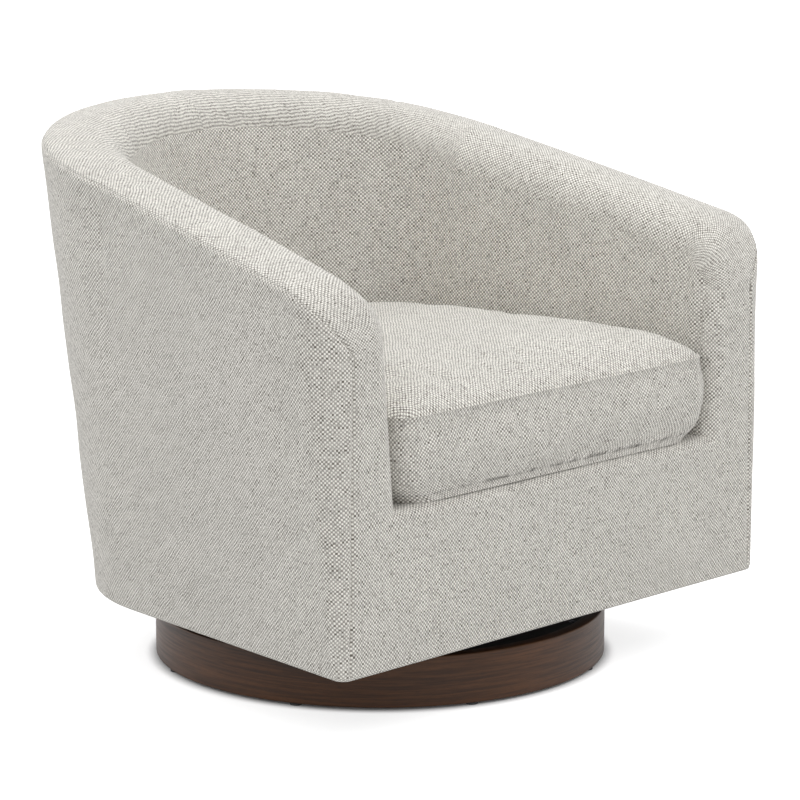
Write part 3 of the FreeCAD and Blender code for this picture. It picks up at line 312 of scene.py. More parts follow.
@dataclass(frozen=True)
class ShellForm:
    """Section of the padded shell and how it changes round the horseshoe."""

    plan: Horseshoe = field(default_factory=Horseshoe)
    box_low: float = 0.094
    deck: float = 0.290
    arm_seam: float = 0.553
    back_seam: float = 0.705
    crest_power: float = 1.07
    side_lean: float = 0.073
    back_lean: float = 0.121
    arm_inner_lean: float = 0.085
    back_inner_lean: float = 0.16
    crown_inset: float = 0.060
    crown_rise: float = 0.010
    roll_radius: float = 0.055
    front_top_radius: float = 0.100
    corner_low: float = 0.015
    corner_high: float = 0.055
    corner_reach: float = 0.460
    seam_turn: float = 83.0

    def share(self, turn: Array) -> Array:
        """Share of the way from the side to the middle of the back."""
        low = math.sin(radians(self.plan.toe))
        return (np.sin(radians(turn)) - low) / (1 - low)

    def outer_lean(self, turn: Array) -> Array:
        """Lean of the outer wall."""
        return self.side_lean + (self.back_lean - self.side_lean) * self.share(turn)

    def inner_lean(self, turn: Array) -> Array:
        """Lean of the inner wall."""
        return self.arm_inner_lean + (self.back_inner_lean - self.arm_inner_lean) * self.share(turn)

    def seam_height(self, y: Array) -> Array:
        """Height of the outer seam over a place on the plan line."""
        share = np.clip((y - self.plan.front) / (self.plan.back - self.plan.front), -0.2, 1.0)
        rest = 1 - share
        return self.arm_seam + (self.back_seam - self.arm_seam) * (1 - rest ** self.crest_power)

    def wall_inset(self, turn: Array, z: Array) -> Array:
        """Inset of the outer wall at a height."""
        return -self.outer_lean(turn) * (z - self.box_low)

    def crown(self, s: Array) -> tuple[Array, Array]:
        """Inset and height of the crown line."""
        _, _, turn, y = self.plan.at(s)
        seam = self.seam_height(y)
        return self.wall_inset(turn, seam) + self.crown_inset, seam + self.crown_rise

    def inner_inset(self, s: Array, z: Array) -> Array:
        """Inset of the inner wall at a height, on its plane under the roll."""
        _, _, turn, _ = self.plan.at(s)
        crown_n, crown_z = self.crown(s)
        end = np.arctan(self.inner_lean(turn))
        n = crown_n + self.roll_radius * np.cos(end)
        top = crown_z - self.roll_radius + self.roll_radius * np.sin(end)
        return n + self.inner_lean(turn) * (top - z)

    def inner_point(self, s: Array, z: Array) -> Array:
        """Points on the inner wall."""
        x, y, _, _ = self.plan.at(s, self.inner_inset(s, z))
        return np.stack([x, y, np.broadcast_to(z, x.shape)], -1)

    def corner_radius(self, z: Array) -> Array:
        """Plan radius of the arm's front outer corner."""
        return self.corner_low + (self.corner_high - self.corner_low) * (z - self.box_low) / self.corner_reach

    def corner_data(self, z: Array) -> tuple[Array, Array, Array]:
        """Place of the right front corner's arc.

        Args:
            z: Heights.

        Returns:
            Its centre's x and y, and the distance along the plan line at which it leaves the side.
        """
        r = self.corner_radius(z)
        p = self.plan
        out = self.side_lean * (z - self.box_low)
        face_x = p.corner[0] + p.normal[0] * out
        face_y = p.corner[1] + p.normal[1] * out
        run = (p.front - face_y) / p.along[1]
        tip_x = face_x + p.along[0] * run
        back_off = r * math.tan(radians((90 + p.toe) / 2))
        cx = tip_x - back_off
        cy = p.front + r
        leave = (cx - p.corner[0]) * p.along[0] + (cy - p.corner[1]) * p.along[1]
        return cx, cy, p.half_length - leave

    def seam_limit(self, z: Array) -> Array:
        """Distance along the outer cloth at which the front seam lies."""
        _, _, leave = self.corner_data(z)
        return leave + self.corner_radius(z) * radians(self.plan.toe + self.seam_turn)

    def outer_point(self, u: Array, z: Array) -> Array:
        """Points on the outer wall and its rounded front corners.

        Args:
            u: Signed distance along the cloth from the middle of the back.
            z: Height.

        Returns:
            Points, by 3.
        """
        u = np.asarray(u, float)
        z = np.asarray(z, float)
        u, z = np.broadcast_arrays(u, z)
        cx, cy, leave = self.corner_data(z)
        far = np.abs(u)
        on_wall = np.minimum(far, leave)
        _, _, turn, _ = self.plan.at(on_wall)
        wx, wy, _, _ = self.plan.at(on_wall, self.wall_inset(turn, z))
        r = self.corner_radius(z)
        a = radians(self.plan.toe) - (far - leave) / r
        x = np.where(far <= leave, wx, cx + r * np.cos(a))
        y = np.where(far <= leave, wy, cy + r * np.sin(a))
        return np.stack([np.where(u < 0, -x, x), y, z], -1)


@dataclass(frozen=True)
class SeamStyle:
    """A plain seam: how deep the two cloths draw in and how full they stand beside it."""

    depth: float = 0.0024
    width: float = 0.0028
    full: float = 0.0012
    full_at: float = 0.012
    pucker: float = 0.00022
    pucker_length: float = 0.011

    def offset(self, distance: Array, along: Array) -> Array:
        """Height over the plain surface at a distance from the seam.

        Args:
            distance: Distance from the seam.
            along: Distance along it.

        Returns:
            Height along the outward normal.
        """
        d = np.abs(distance)
        dip = -self.depth * np.exp(-(d / self.width) ** 1.6)
        swell = self.full * (d / self.full_at) * np.exp(1 - d / self.full_at)
        wave = np.sin(along * 2 * math.pi / self.pucker_length + 1.7 * np.sin(along * 23)) * (
            0.6 + 0.4 * np.sin(along * 41 + 1))
        near = np.exp(-((d - 0.004) / 0.004) ** 2)
        return dip + swell + self.pucker * wave * near


def normals_of(points: Array, close: bool = False) -> Array:
    """Unit normals of a grid, from its rows' and columns' directions.

    Args:
        points: Rows by columns by 3.
        close: Whether the last column meets the first.

    Returns:
        Normals, rows by columns by 3.
    """
    if close:
        wide = np.concatenate([points[:, -1:], points, points[:, :1]], 1)
        across = (wide[:, 2:] - wide[:, :-2])
    else:
        across = np.gradient(points, axis=1)
    down = np.gradient(points, axis=0)
    n = np.cross(across, down)
    length = np.linalg.norm(n, axis=-1, keepdims=True)
    return n / np.maximum(length, 1e-12)


@dataclass
class ShellCovers:
    """The covers of the horseshoe shell, from one family of lines across it."""

    form: ShellForm = field(default_factory=ShellForm)
    seam: SeamStyle = field(default_factory=SeamStyle)
    sway: Sway = field(default_factory=Sway)
    hem_height: float = 0.0035
    hem_depth: float = 0.017
    front_roll: float = 0.028
    panel_edge: float = 0.014
    panel_full: float = 0.0022
    face_rows: int = 62
    arc_rows: int = 34
    side_rows: int = 60
    back_rows: int = 74
    deck_reach: float = 0.114
    inside_seam_turn: float = 39.0
    inside_seam_slope: float = 50.0

    @property
    def low(self) -> float:
        """Height at which the upright cloth turns under."""
        return self.form.box_low + self.hem_height

    def section_seam(self, s: Array) -> Array:
        """Height at which the crown's arc meets the outer wall.

        Args:
            s: Distances along the plan line.

        Returns:
            Heights.
        """
        f = self.form
        _, _, turn, _ = f.plan.at(s)
        big = (f.crown_inset ** 2 + f.crown_rise ** 2) / (2 * f.crown_rise)
        lean = f.outer_lean(turn)
        crown_n, crown_z = f.crown(s)
        big_z = crown_z - big
        a = lean * f.box_low - crown_n
        qa = 1 + lean ** 2
        qb = -2 * (a * lean + big_z)
        qc = a * a + big_z * big_z - big * big
        return (-qb + np.sqrt(qb * qb - 4 * qa * qc)) / (2 * qa)

    def seam_spot(self, y: Array, z: Array) -> Array:
        """Distance along the outer cloth of the place at a depth and height near the front.

        Args:
            y: Depths.
            z: Heights.

        Returns:
            Distances.
        """
        lo = np.full(len(y), 0.3)
        hi = self.form.seam_limit(z)
        for _ in range(SOLVER_STEPS):
            mid = (lo + hi) / 2
            ahead = self.form.outer_point(mid, z)[:, 1] < y
            hi = np.where(ahead, mid, hi)
            lo = np.where(ahead, lo, mid)
        return (lo + hi) / 2

    def stations(self) -> dict[str, Array]:
        """Stations of the right half, from the front's lower edge up over the arm to the middle of the back.

        Returns:
            Seam points, directions, blend from the front's section to the top's, lengths and counts.
        """
        f, p = self.form, self.form.plan
        step = 0.001
        slope = float(f.seam_height(np.array(p.front + step)) - f.seam_height(np.array(p.front))) / step
        theta = math.atan(slope)
        radius = f.front_top_radius
        crest = f.arm_seam + f.crown_rise + slope * radius * (1 - math.sin(theta))
        cy = p.front + radius
        cz = crest - radius * math.cos(theta)
        face_z = np.linspace(self.low, cz, self.face_rows)[:-1]
        phi = np.linspace(0, math.pi / 2 - theta, self.arc_rows)
        y = np.concatenate([np.full(len(face_z), p.front), cy - radius * np.cos(phi)])
        z = np.concatenate([face_z, cz + radius * np.sin(phi)])
        k = np.concatenate([np.zeros(len(face_z)), smooth(phi / phi[-1])])
        tilt = np.concatenate([np.zeros(len(face_z)), phi / phi[-1] * math.pi / 2])
        normal = np.stack([np.zeros(len(y)), -np.cos(tilt), np.sin(tilt)], -1)
        seam_y = y - f.crown_rise * k * normal[:, 1]
        seam_z = z - f.crown_rise * k * normal[:, 2]
        for _ in range(3):
            seam_u = self.seam_spot(seam_y, seam_z)
            goal = float(self.section_seam(np.array(seam_u[-1])))
            seam_z = seam_z + (goal - seam_z[-1]) * k
        seam = f.outer_point(seam_u, seam_z)
        side_end = p.back_half + p.shoulder_length
        s = np.concatenate([np.linspace(seam_u[-1], side_end, self.side_rows)[1:-1],
                            np.linspace(side_end, 0, self.back_rows)])
        top = f.outer_point(s, self.section_seam(s))
        to_side = -np.append(p.normal, 0)
        to_middle = np.array([-1.0, 0, 0])
        lateral = to_middle + (to_side - to_middle) * k[:, None]
        lateral /= np.linalg.norm(lateral, axis=1, keepdims=True)
        a = radians(p.at(s)[2])
        side_in = np.stack([-np.cos(a), -np.sin(a), np.zeros(len(s))], -1)
        whole = np.vstack([seam, top])
        path = np.concatenate([[0], np.cumsum(np.linalg.norm(np.diff(whole, axis=0), axis=1))])
        return {"seam": whole, "u": np.concatenate([seam_u, s]), "s": s, "path": path,
                "lateral": np.vstack([lateral, side_in]),
                "normal": np.vstack([normal, np.tile([0, 0, 1.0], (len(s), 1))]),
                "k": np.concatenate([k, np.ones(len(s))]),
                "faces": np.array(len(face_z)), "front": np.array(len(y))}

    def inner_x(self, y: Array, z: Array) -> Array:
        """x of the right arm's inner wall at a depth and height."""
        p = self.form.plan
        s = self.inner_spot(y, z)
        return p.at(s, self.form.inner_inset(s, z))[0]

    def inner_spot(self, y: Array, z: Array) -> Array:
        """Distance along the plan line of the inner wall's place at a depth and height.

        Args:
            y: Depths.
            z: Heights.

        Returns:
            Distances.
        """
        p = self.form.plan
        rise = math.cos(radians(p.toe))
        s = p.half_length - (y - p.front) / rise
        for _ in range(8):
            now = p.at(s, self.form.inner_inset(s, z))[1]
            s = s - (y - now) / rise
        return s

    def crossing(self, data: dict[str, Array]) -> tuple[Array, Array, Array]:
        """Lines across the roll, from the seam to the top of the inner wall.

        Args:
            data: The stations.

        Returns:
            Points (stations by columns by 3), their distance across, and the width of the arm's flat front.
        """
        f = self.form
        k = data["k"][:, None]
        front = int(data["front"])
        flat = np.concatenate([SEAM_ROWS / f.crown_inset, np.linspace(0.29, 1, 9)])
        lean = np.full(len(k), math.atan(f.arm_inner_lean))
        lean[front:] = np.arctan(f.inner_lean(f.plan.at(data["s"])[2]))
        end = ((math.pi / 2 - radians(f.plan.toe)) * (1 - k) + (math.pi / 2 - lean[:, None]) * k)
        r = self.front_roll
        lateral, normal, seam = data["lateral"], data["normal"], data["seam"]
        flat_wide = np.full(len(k), 0.075)
        for _ in range(12):
            reach = (flat_wide[:front] + r * np.sin(end[:front, 0]))[:, None]
            drop = (r * (1 - np.cos(end[:front, 0])))[:, None]
            tip = seam[:front] + lateral[:front] * reach - normal[:front] * drop
            flat_wide[:front] += tip[:, 0] - self.inner_x(tip[:, 1], tip[:, 2])
        flat_wide[:front] = np.clip(flat_wide[:front], 0.03, 0.12)
        flat_wide[front:] = flat_wide[front - 1]
        wide = flat_wide[:, None]
        angle = end * np.linspace(0, 1, 17)[1:]
        near_part = flat * f.crown_inset
        last = len(SEAM_ROWS) - 1
        share = np.clip((flat - flat[last]) / (1 - flat[last]), 0, 1)
        n_flat = np.where(share > 0, near_part[last] + (wide - near_part[last]) * share, near_part)
        n_front = np.hstack([n_flat, wide + r * np.sin(angle)])
        h_front = np.hstack([np.zeros_like(n_flat), -r * (1 - np.cos(angle))])
        big = (f.crown_inset ** 2 + f.crown_rise ** 2) / (2 * f.crown_rise)
        n_crown = near_part * np.ones_like(k)
        h_crown = np.sqrt(big ** 2 - (f.crown_inset - n_crown) ** 2) - big + f.crown_rise
        n_top = np.hstack([n_crown, f.crown_inset + f.roll_radius * np.sin(angle)])
        h_top = np.hstack([h_crown, f.crown_rise - f.roll_radius * (1 - np.cos(angle))])
        n = n_front * (1 - k) + n_top * k
        h = h_front * (1 - k) + h_top * k
        points = seam[:, None] + lateral[:, None] * n[..., None] + normal[:, None] * h[..., None]
        steps = np.hypot(np.diff(n, axis=1), np.diff(h, axis=1))
        across = np.concatenate([np.zeros((len(k), 1)), np.cumsum(steps, axis=1)], axis=1)
        return points, across, flat_wide

    def inner_wall(self, data: dict[str, Array], top: Array) -> tuple[Array, Array]:
        """Lines down the inner wall, from the roll to just under the deck.

        Args:
            data: The stations.
            top: Where each line starts.

        Returns:
            Points (stations by rows by 3) and UVs.
        """
        f, p = self.form, self.form.plan
        front, faces = int(data["front"]), int(data["faces"])
        low = f.deck - 0.004
        z = top[:, 2]
        s = np.concatenate([self.inner_spot(top[:front, 1], top[:front, 2]), data["s"]])
        deck_row = int(np.searchsorted(z[:faces], f.deck))
        climb = np.clip((np.arange(front) - deck_row) / (front - 1 - deck_row), 0, 1)
        s_low = s.copy()
        s_low[:front] = s[0] - 0.012 + (s[front - 1] - s[0] + 0.012) * climb ** 1.15
        z_low = np.minimum(z, low)
        t = np.linspace(0, 1, 26)[None, :]
        grid_s = s[:, None] + (s_low - s)[:, None] * t
        grid_z = z[:, None] + (z_low - z)[:, None] * t
        points = f.inner_point(grid_s, grid_z)
        points = points + (top - points[:, 0])[:, None] * ((1 - t[..., None]) ** 2)
        line = np.linspace(0, p.half_length + 0.05, 400)
        spots = f.inner_point(line, np.full(400, 0.5))
        length = np.concatenate([[0], np.cumsum(np.linalg.norm(np.diff(spots, axis=0), axis=1))])
        return points, np.stack([np.interp(grid_s, line, length), grid_z], -1)

    def inside_seam(self, points: Array) -> Array:
        """Shallow upright seam where the arm's inside panel meets the back's.

        Args:
            points: Places on the right half, by 3.

        Returns:
            Heights over the plain surface.
        """
        f = self.form
        x, y, z = points[..., 0], points[..., 1], points[..., 2]
        centre = f.plan.shoulder_centre
        turn = np.degrees(np.arctan2(y - centre[1], x - centre[0]))
        line = self.inside_seam_turn - self.inside_seam_slope * np.clip(0.68 - z, 0, 0.3)
        distance = radians(turn - line) * np.hypot(y - centre[1], x - centre[0])
        return -0.0016 * np.exp(-(distance / 0.0026) ** 2) * (y > centre[1])

    def outer_wall(self, data: dict[str, Array]) -> tuple[Array, Array, Array]:
        """Lines down the outer wall, from the seam to the lower edge.

        Args:
            data: The stations.

        Returns:
            Points (stations by rows by 3), UVs and the distance from the seam.
        """
        f = self.form
        u, z = data["u"], data["seam"][:, 2]
        front, faces = int(data["front"]), int(data["faces"])
        corner = float(f.seam_limit(np.array(self.low)))
        u_low = u.copy()
        u_low[:front] = corner + (u[front - 1] - corner) * np.linspace(0, 1, front) ** 1.3
        reach = np.hypot(u - u_low, z - self.low)[:, None]
        short = 0.03
        first = np.where(reach > short, SEAM_ROWS / np.maximum(reach, short),
                         SEAM_ROWS / SEAM_ROWS[-1] * 0.45)
        rest = np.linspace(0, 1, 46)[1:]
        t = np.hstack([first, first[:, -1:] + (1 - first[:, -1:]) * rest])
        grid_u = u[:, None] + (u_low - u)[:, None] * t
        grid_z = z[:, None] + (self.low - z)[:, None] * t
        points = f.outer_point(grid_u, grid_z)
        points[:, 0] = data["seam"]
        straight = np.linalg.norm(points - points[:, :1], axis=-1)
        to_seam = np.abs(grid_u - f.seam_limit(grid_z))
        distance = np.where(np.arange(len(u))[:, None] < faces, np.minimum(to_seam, straight), straight)
        return points, np.stack([grid_u, grid_z], -1), distance

    def front_panel(self, mesh: ClothMesh, data: dict[str, Array], flat_wide: Array) -> None:
        """Panel under the deck's front edge, rolled over onto the deck.

        Args:
            mesh: Where the grid goes.
            data: The stations.
            flat_wide: Width of the arm's flat front at each station.
        """
        f, p = self.form, self.form.plan
        faces = int(data["faces"])
        face = data["seam"][:faces]
        edge_x = face[:, 0] - flat_wide[:faces]
        r = self.panel_edge
        rows = face[:, 2] < f.deck - r
        z = np.append(face[rows, 2], f.deck - r)
        x = np.append(edge_x[rows], np.interp(f.deck - r, face[:, 2], edge_x))
        y = np.append(face[rows, 1], np.interp(f.deck - r, face[:, 2], face[:, 1]))
        angle = np.linspace(0, math.pi / 2, 12)[1:]
        back = np.linspace(p.front + r, p.front + self.deck_reach, 16)[1:]
        y = np.concatenate([y, y[-1] + r * (1 - np.cos(angle)), back])
        z = np.concatenate([z, f.deck - r + r * np.sin(angle), np.full(len(back), f.deck)])
        x = np.concatenate([x, x[-1] + 0.02 * np.sin(angle), np.full(len(back), x[-1] + 0.02)])
        t = np.linspace(-1, 1, 90)[None, :]
        ones = np.ones_like(t)
        points = np.stack([x[:, None] * t, y[:, None] * ones, z[:, None] * ones], -1)
        path = (np.concatenate([[0], np.cumsum(np.hypot(np.diff(y), np.diff(z)))]) + z[0])[:, None] * ones
        calm = smooth((1 - np.abs(t)) / 0.15) * smooth((path - z[0]) / 0.025)
        full = self.panel_full * np.sin(np.clip((path - z[0]) / 0.19, 0, 1) * math.pi) * (1 - t ** 4)
        points = points + normals_of(points) * (full * calm)[..., None]
        mesh.grid(points, np.stack([points[..., 0], path], -1), loose=calm)

    def hem(self, mesh: ClothMesh) -> None:
        """Lower edge of all the covers, turned under the box.

        Args:
            mesh: Where the grid goes.
        """
        f = self.form
        limit = float(f.seam_limit(np.array(self.low)))
        u = np.concatenate([np.linspace(limit, limit - 0.06, 26), np.linspace(limit - 0.06, 0, 90)[1:]])
        right = f.outer_point(u, np.full(len(u), self.low))
        across = np.linspace(0, right[0, 0], 46)[:-1]
        front = np.stack([across, np.full(len(across), right[0, 1]), np.full(len(across), self.low)], -1)
        half = np.vstack([front, right])
        ring = np.vstack([half, (half * np.array([-1, 1, 1]))[-2:0:-1]])
        tangent = np.roll(ring, -1, 0) - np.roll(ring, 1, 0)
        inward = np.stack([-tangent[:, 1], tangent[:, 0], np.zeros(len(ring))], -1)
        inward /= np.linalg.norm(inward, axis=1, keepdims=True)
        r = self.hem_height
        rows = [(r * (1 - math.cos(a)), -r * math.sin(a)) for a in np.linspace(0, math.pi / 2, 7)]
        slack = ((0.4, 0.0002), (0.7, 0.001), (1, 0.0022))
        rows += [(self.hem_depth * share, -r + lift) for share, lift in slack]
        points = np.stack([ring + inward * n + np.array([0, 0, h]) for n, h in rows])
        path = np.concatenate([[0], np.cumsum(np.linalg.norm(np.diff(ring, axis=0), axis=1))])
        depth = np.array([[n - h] for n, h in rows])
        uv = np.stack([path[None, :] + 0 * depth, self.low - depth + 0 * path[None, :]], -1)
        mesh.grid(points, uv, flip=True, close=True)

    def build(self) -> list[bpy.types.Object]:
        """Make the inside and outer cloths, drawn together along their seam.

        Returns:
            The inside and front cover, and the outer cover.
        """
        data = self.stations()
        roll, across, flat_wide = self.crossing(data)
        inner, inner_uv = self.inner_wall(data, roll[:, -1])
        inside = np.concatenate([roll, inner[:, 1:]], 1)
        outside, outer_uv, outer_gap = self.outer_wall(data)
        inside_out, outside_out = -normals_of(inside), normals_of(outside)
        outside_out[0] = outside_out[1]
        bisector = inside_out[:, :1] + outside_out[:, 1:2]
        bisector /= np.linalg.norm(bisector, axis=-1, keepdims=True)
        steps = np.linalg.norm(np.diff(inside, axis=1), axis=-1)
        gap = np.concatenate([np.zeros((len(inside), 1)), np.cumsum(steps, 1)], 1)
        path = data["path"][:, None]
        moved = []
        for points, out, distance, extra in ((inside, inside_out, gap, self.inside_seam(inside)),
                                             (outside, outside_out, outer_gap, 0.0)):
            lean = np.exp(-(distance / 0.003) ** 2)[..., None]
            way = out * (1 - lean) + bisector * lean
            way /= np.linalg.norm(way, axis=-1, keepdims=True)
            fade = smooth((points[..., 2] - self.low) / 0.004)
            height = (self.seam.offset(distance, path + 0 * distance) + extra) * fade
            moved.append(points + way * height[..., None])
        inside, outside = moved
        outside[:, 0] = inside[:, 0]
        columns = roll.shape[1]
        roll_uv = np.stack([np.minimum(data["seam"][:, :1], 0.4) - across, path + self.low + 0 * across], -1)
        free = smooth(gap / 0.03) * smooth((inside[..., 2] - self.low) / 0.025)
        faces = int(data["faces"])
        edge = np.abs(across[:faces] - flat_wide[:faces, None])
        free[:faces, :columns] *= smooth(edge / 0.03)
        free[:faces, columns:] *= 0
        climb = smooth((np.arange(len(free)) - faces + 20) / 20)[:, None]
        free = free * np.where(np.arange(free.shape[1])[None, :] >= columns - 17, climb, 1)
        outer_free = smooth(outer_gap / 0.03) * smooth((outside[..., 2] - self.low) / 0.03)
        front_cloth, outer_cloth = ClothMesh(), ClothMesh()
        for side in (1, -1):
            turn = np.array([side, 1, 1])
            front_cloth.grid(inside[:, :columns] * turn, roll_uv * turn[:2], side > 0,
                             loose=free[:, :columns])
            front_cloth.grid(inside[:, columns - 1:] * turn, inner_uv * turn[:2], side > 0,
                             loose=free[:, columns - 1:])
            outer_cloth.grid(outside * turn, outer_uv * turn[:2], side < 0, loose=outer_free)
        self.front_panel(front_cloth, data, flat_wide)
        self.hem(outer_cloth)
        seam = [inside[:, 0], inside[:, 0] * np.array([-1, 1, 1])]
        return [front_cloth.build("inside_and_front_cover", seam, self.sway),
                outer_cloth.build("outer_cover_cloth", seam, self.sway)]


def ring_of(form: ShellForm, inset: float, front: float, corner: float, z: float,
            counts: tuple[int, ...]) -> Array:
    """Closed D-shaped ring, inset from the horseshoe, with a straight rounded front.

    Args:
        form: The shell.
        inset: Distance in from the horseshoe line.
        front: y of the straight front.
        corner: Radius of the front corners.
        z: Height.
        counts: Points on half the front, a corner, a side, a shoulder and half the back.

    Returns:
        Points by 3, from the middle of the front to the right and round.
    """
    p = form.plan
    base = p.corner - p.normal * inset
    tip = base + p.along * ((front - base[1]) / p.along[1])
    bend = 90 + p.toe
    off = corner * math.tan(radians(bend / 2))
    start = np.array([tip[0] - off, front])
    centre = start + np.array([0, corner])
    parts = [np.stack([np.linspace(0, start[0], counts[0] + 1)[:-1], np.full(counts[0], front)], -1)]
    a = radians(np.linspace(-90, p.toe, counts[1] + 1)[:-1])
    parts.append(centre + corner * np.stack([np.cos(a), np.sin(a)], -1))
    side_start = centre + corner * p.normal
    side_end = p.shoulder_centre + p.normal * (p.shoulder_radius - inset)
    t = np.linspace(0, 1, counts[2] + 1)[:-1, None]
    parts.append(side_start + (side_end - side_start) * t)
    a = radians(np.linspace(p.toe, p.join, counts[3] + 1)[:-1])
    parts.append(p.shoulder_centre + (p.shoulder_radius - inset) * np.stack([np.cos(a), np.sin(a)], -1))
    a = radians(np.linspace(p.join, 90, counts[4] + 1))
    parts.append(p.back_centre + (p.back_radius - inset) * np.stack([np.cos(a), np.sin(a)], -1))
    half = np.vstack(parts)
    half[-1, 0] = 0
    other = (half * np.array([-1, 1]))[-2:0:-1]
    ring = np.vstack([half, other])
    return np.hstack([ring, np.full((len(ring), 1), z)])


@dataclass
class LooseCushion:
    """Boxed seat cushion: bulged border between two drawn-in seams, crowned top and flat bottom."""

    form: ShellForm = field(default_factory=ShellForm)
    seam: SeamStyle = field(default_factory=lambda: SeamStyle(
        depth=0.0022, width=0.003, full=0.0016, full_at=0.014, pucker=0.0003, pucker_length=0.013))
    sway: Sway = field(default_factory=lambda: Sway(amplitude=0.0016, seed=8, longest=0.3))
    low: float = 0.2903
    border: float = 0.111
    inset: float = 0.1017
    front: float = -0.325
    corner: float = 0.034
    bulge: float = 0.005
    spread: float = 0.007
    crown: float = 0.040
    crown_flat: float = 0.24
    crown_power: float = 5.0
    half_span: float = 0.26
    back_drop: float = 0.30
    tuck: float = 0.009
    tuck_height: float = 0.016
    counts: tuple[int, ...] = (44, 12, 40, 30, 18)
    fill: float = 0.8
    pressure: float = 3.0
    sim_frames: int = 16
    most: float = 0.006

    def outline(self, share: float, swell: float) -> Array:
        """Ring of the border.

        Args:
            share: Share of the border's height.
            swell: Share of the full bulge.

        Returns:
            Points by 3.
        """
        tucked = self.tuck * math.exp(-(share * self.border / self.tuck_height) ** 1.3)
        out = self.bulge * swell + self.spread * share - tucked
        front = self.front + self.bulge - self.bulge * swell + tucked
        return ring_of(self.form, self.inset + self.bulge - out, front, self.corner + tucked,
                       self.low + self.border * share, self.counts)

    def build(self) -> bpy.types.Object:
        """Make the cushion's cover."""
        mesh = ClothMesh()
        rim = self.outline(1.0, 0.0)
        foot = self.outline(0.0, 0.0)
        length = np.concatenate([[0], np.cumsum(np.linalg.norm(np.diff(rim, axis=0), axis=1))])
        near = SEAM_ROWS[:-1] / self.border
        shares = np.concatenate([near, np.linspace(0.09, 0.91, 18), 1 - near[::-1]])
        rows = np.stack([self.outline(float(c), math.sin(math.pi * c) ** 0.75 if 0 < c < 1 else 0.0)
                         for c in shares])
        heights = shares[:, None] * self.border * np.ones(len(rim))
        drawn = self.seam.offset(np.minimum(heights, self.border - heights), length[None, :])
        normal = -normals_of(rows, close=True)
        flat = normal.copy()
        flat[..., 2] *= 0.2
        rows_out = rows + flat * drawn[..., None]
        uv = np.stack([np.broadcast_to(length, heights.shape), heights + self.low], -1)
        loose = smooth(np.minimum(heights, self.border - heights) / 0.03)
        mesh.grid(self.closed(rows_out), self.closed_uv(uv, length),
                  loose=self.closed(loose[..., None])[..., 0])
        near_scale = 1 - near * self.border / self.half_span
        scales = np.concatenate([near_scale, np.linspace(near_scale[-1], 0.02, 30)[1:]])
        middle = np.array([0, (self.front + self.bulge + rim[:, 1].max()) / 2, 0])
        for base, top in ((rim, True), (foot, False)):
            edge = rows_out[-1] if top else rows_out[0]
            layers = []
            for scale in scales:
                ring = middle + (base - middle) * np.array([scale, scale, 1.0])
                if top:
                    share = max(0.0, (scale - self.crown_flat) / (1 - self.crown_flat))
                    drop = 1 - self.back_drop * smooth((ring[:, 1] + 0.05) / 0.3)
                    ring[:, 2] += self.crown * drop * (1 - share ** self.crown_power)
                    ring[:, 2] += self.seam.offset(np.full(len(ring), (1 - scale) * self.half_span), length)
                else:
                    ring[:, 2] += 0.0012 * math.exp(-((1 - scale) * self.half_span / 0.006) ** 2)
                layers.append(ring)
            grid = np.stack(layers)
            grid[0] = edge
            flat_uv = grid[..., :2].copy()
            loose = smooth((1 - scales) * self.half_span / 0.04)[:, None] * np.ones(len(rim)) * float(top)
            mesh.grid(grid, flat_uv, flip=not top, close=True, loose=loose)
            mesh.cap(grid[-1], flat_uv[-1], flip=not top, loose=1.0 if top else 0.0)
        crease = [rows_out[-1], rows_out[0]]
        obj = mesh.build("seat_cushion_cover", crease, self.sway)
        self.puff(obj)
        return obj

    def puff(self, obj: bpy.types.Object) -> None:
        """Let pressure fill the cover between its seams, and keep the result.

        Args:
            obj: The cushion's cover.
        """
        mesh = obj.data
        free = np.zeros(len(mesh.vertices), np.float32)
        mesh.attributes["loose"].data.foreach_get("value", free)
        held = obj.vertex_groups.new(name="held")
        for index, value in enumerate(free):
            held.add([index], 1.0 - 0.97 * float(value), "REPLACE")
        before = np.zeros(len(mesh.vertices) * 3, np.float32)
        mesh.vertices.foreach_get("co", before)
        cloth = obj.modifiers.new("fill", "CLOTH")
        rules = cloth.settings
        rules.quality = 5
        rules.mass = 0.25
        rules.tension_stiffness = rules.compression_stiffness = 18.0
        rules.shear_stiffness = 9.0
        rules.bending_stiffness = 1.2
        rules.use_pressure = True
        rules.uniform_pressure_force = self.pressure
        rules.shrink_min = -0.012
        rules.vertex_group_mass = "held"
        rules.effector_weights.gravity = 0.0
        cloth.point_cache.frame_start, cloth.point_cache.frame_end = 1, self.sim_frames
        scene = bpy.context.scene
        for frame_number in range(1, self.sim_frames + 1):
            scene.frame_set(frame_number)
        solved = obj.evaluated_get(bpy.context.evaluated_depsgraph_get()).to_mesh()
        after = np.zeros_like(before)
        solved.vertices.foreach_get("co", after)
        obj.evaluated_get(bpy.context.evaluated_depsgraph_get()).to_mesh_clear()
        move = (after - before).reshape(-1, 3)
        far = np.linalg.norm(move, axis=1, keepdims=True)
        move *= self.most * np.tanh(far / self.most) / np.maximum(far, 1e-9)
        mesh.vertices.foreach_set("co", (before.reshape(-1, 3) + move).ravel())
        mesh.update()
        obj.modifiers.remove(cloth)
        obj.vertex_groups.clear()
        scene.frame_set(1)
        LOG.info("cushion filled: %.1f mm at most", 1000 * float(far.max()))

    def closed(self, grid: Array) -> Array:
        """Repeat the first column after the last."""
        return np.concatenate([grid, grid[:, :1]], 1)

    def closed_uv(self, uv: Array, length: Array) -> Array:
        """UVs whose last column runs on instead of starting again."""
        last = uv[:, -1:].copy()
        last[..., 0] += length[1]
        return np.concatenate([uv, last], 1)


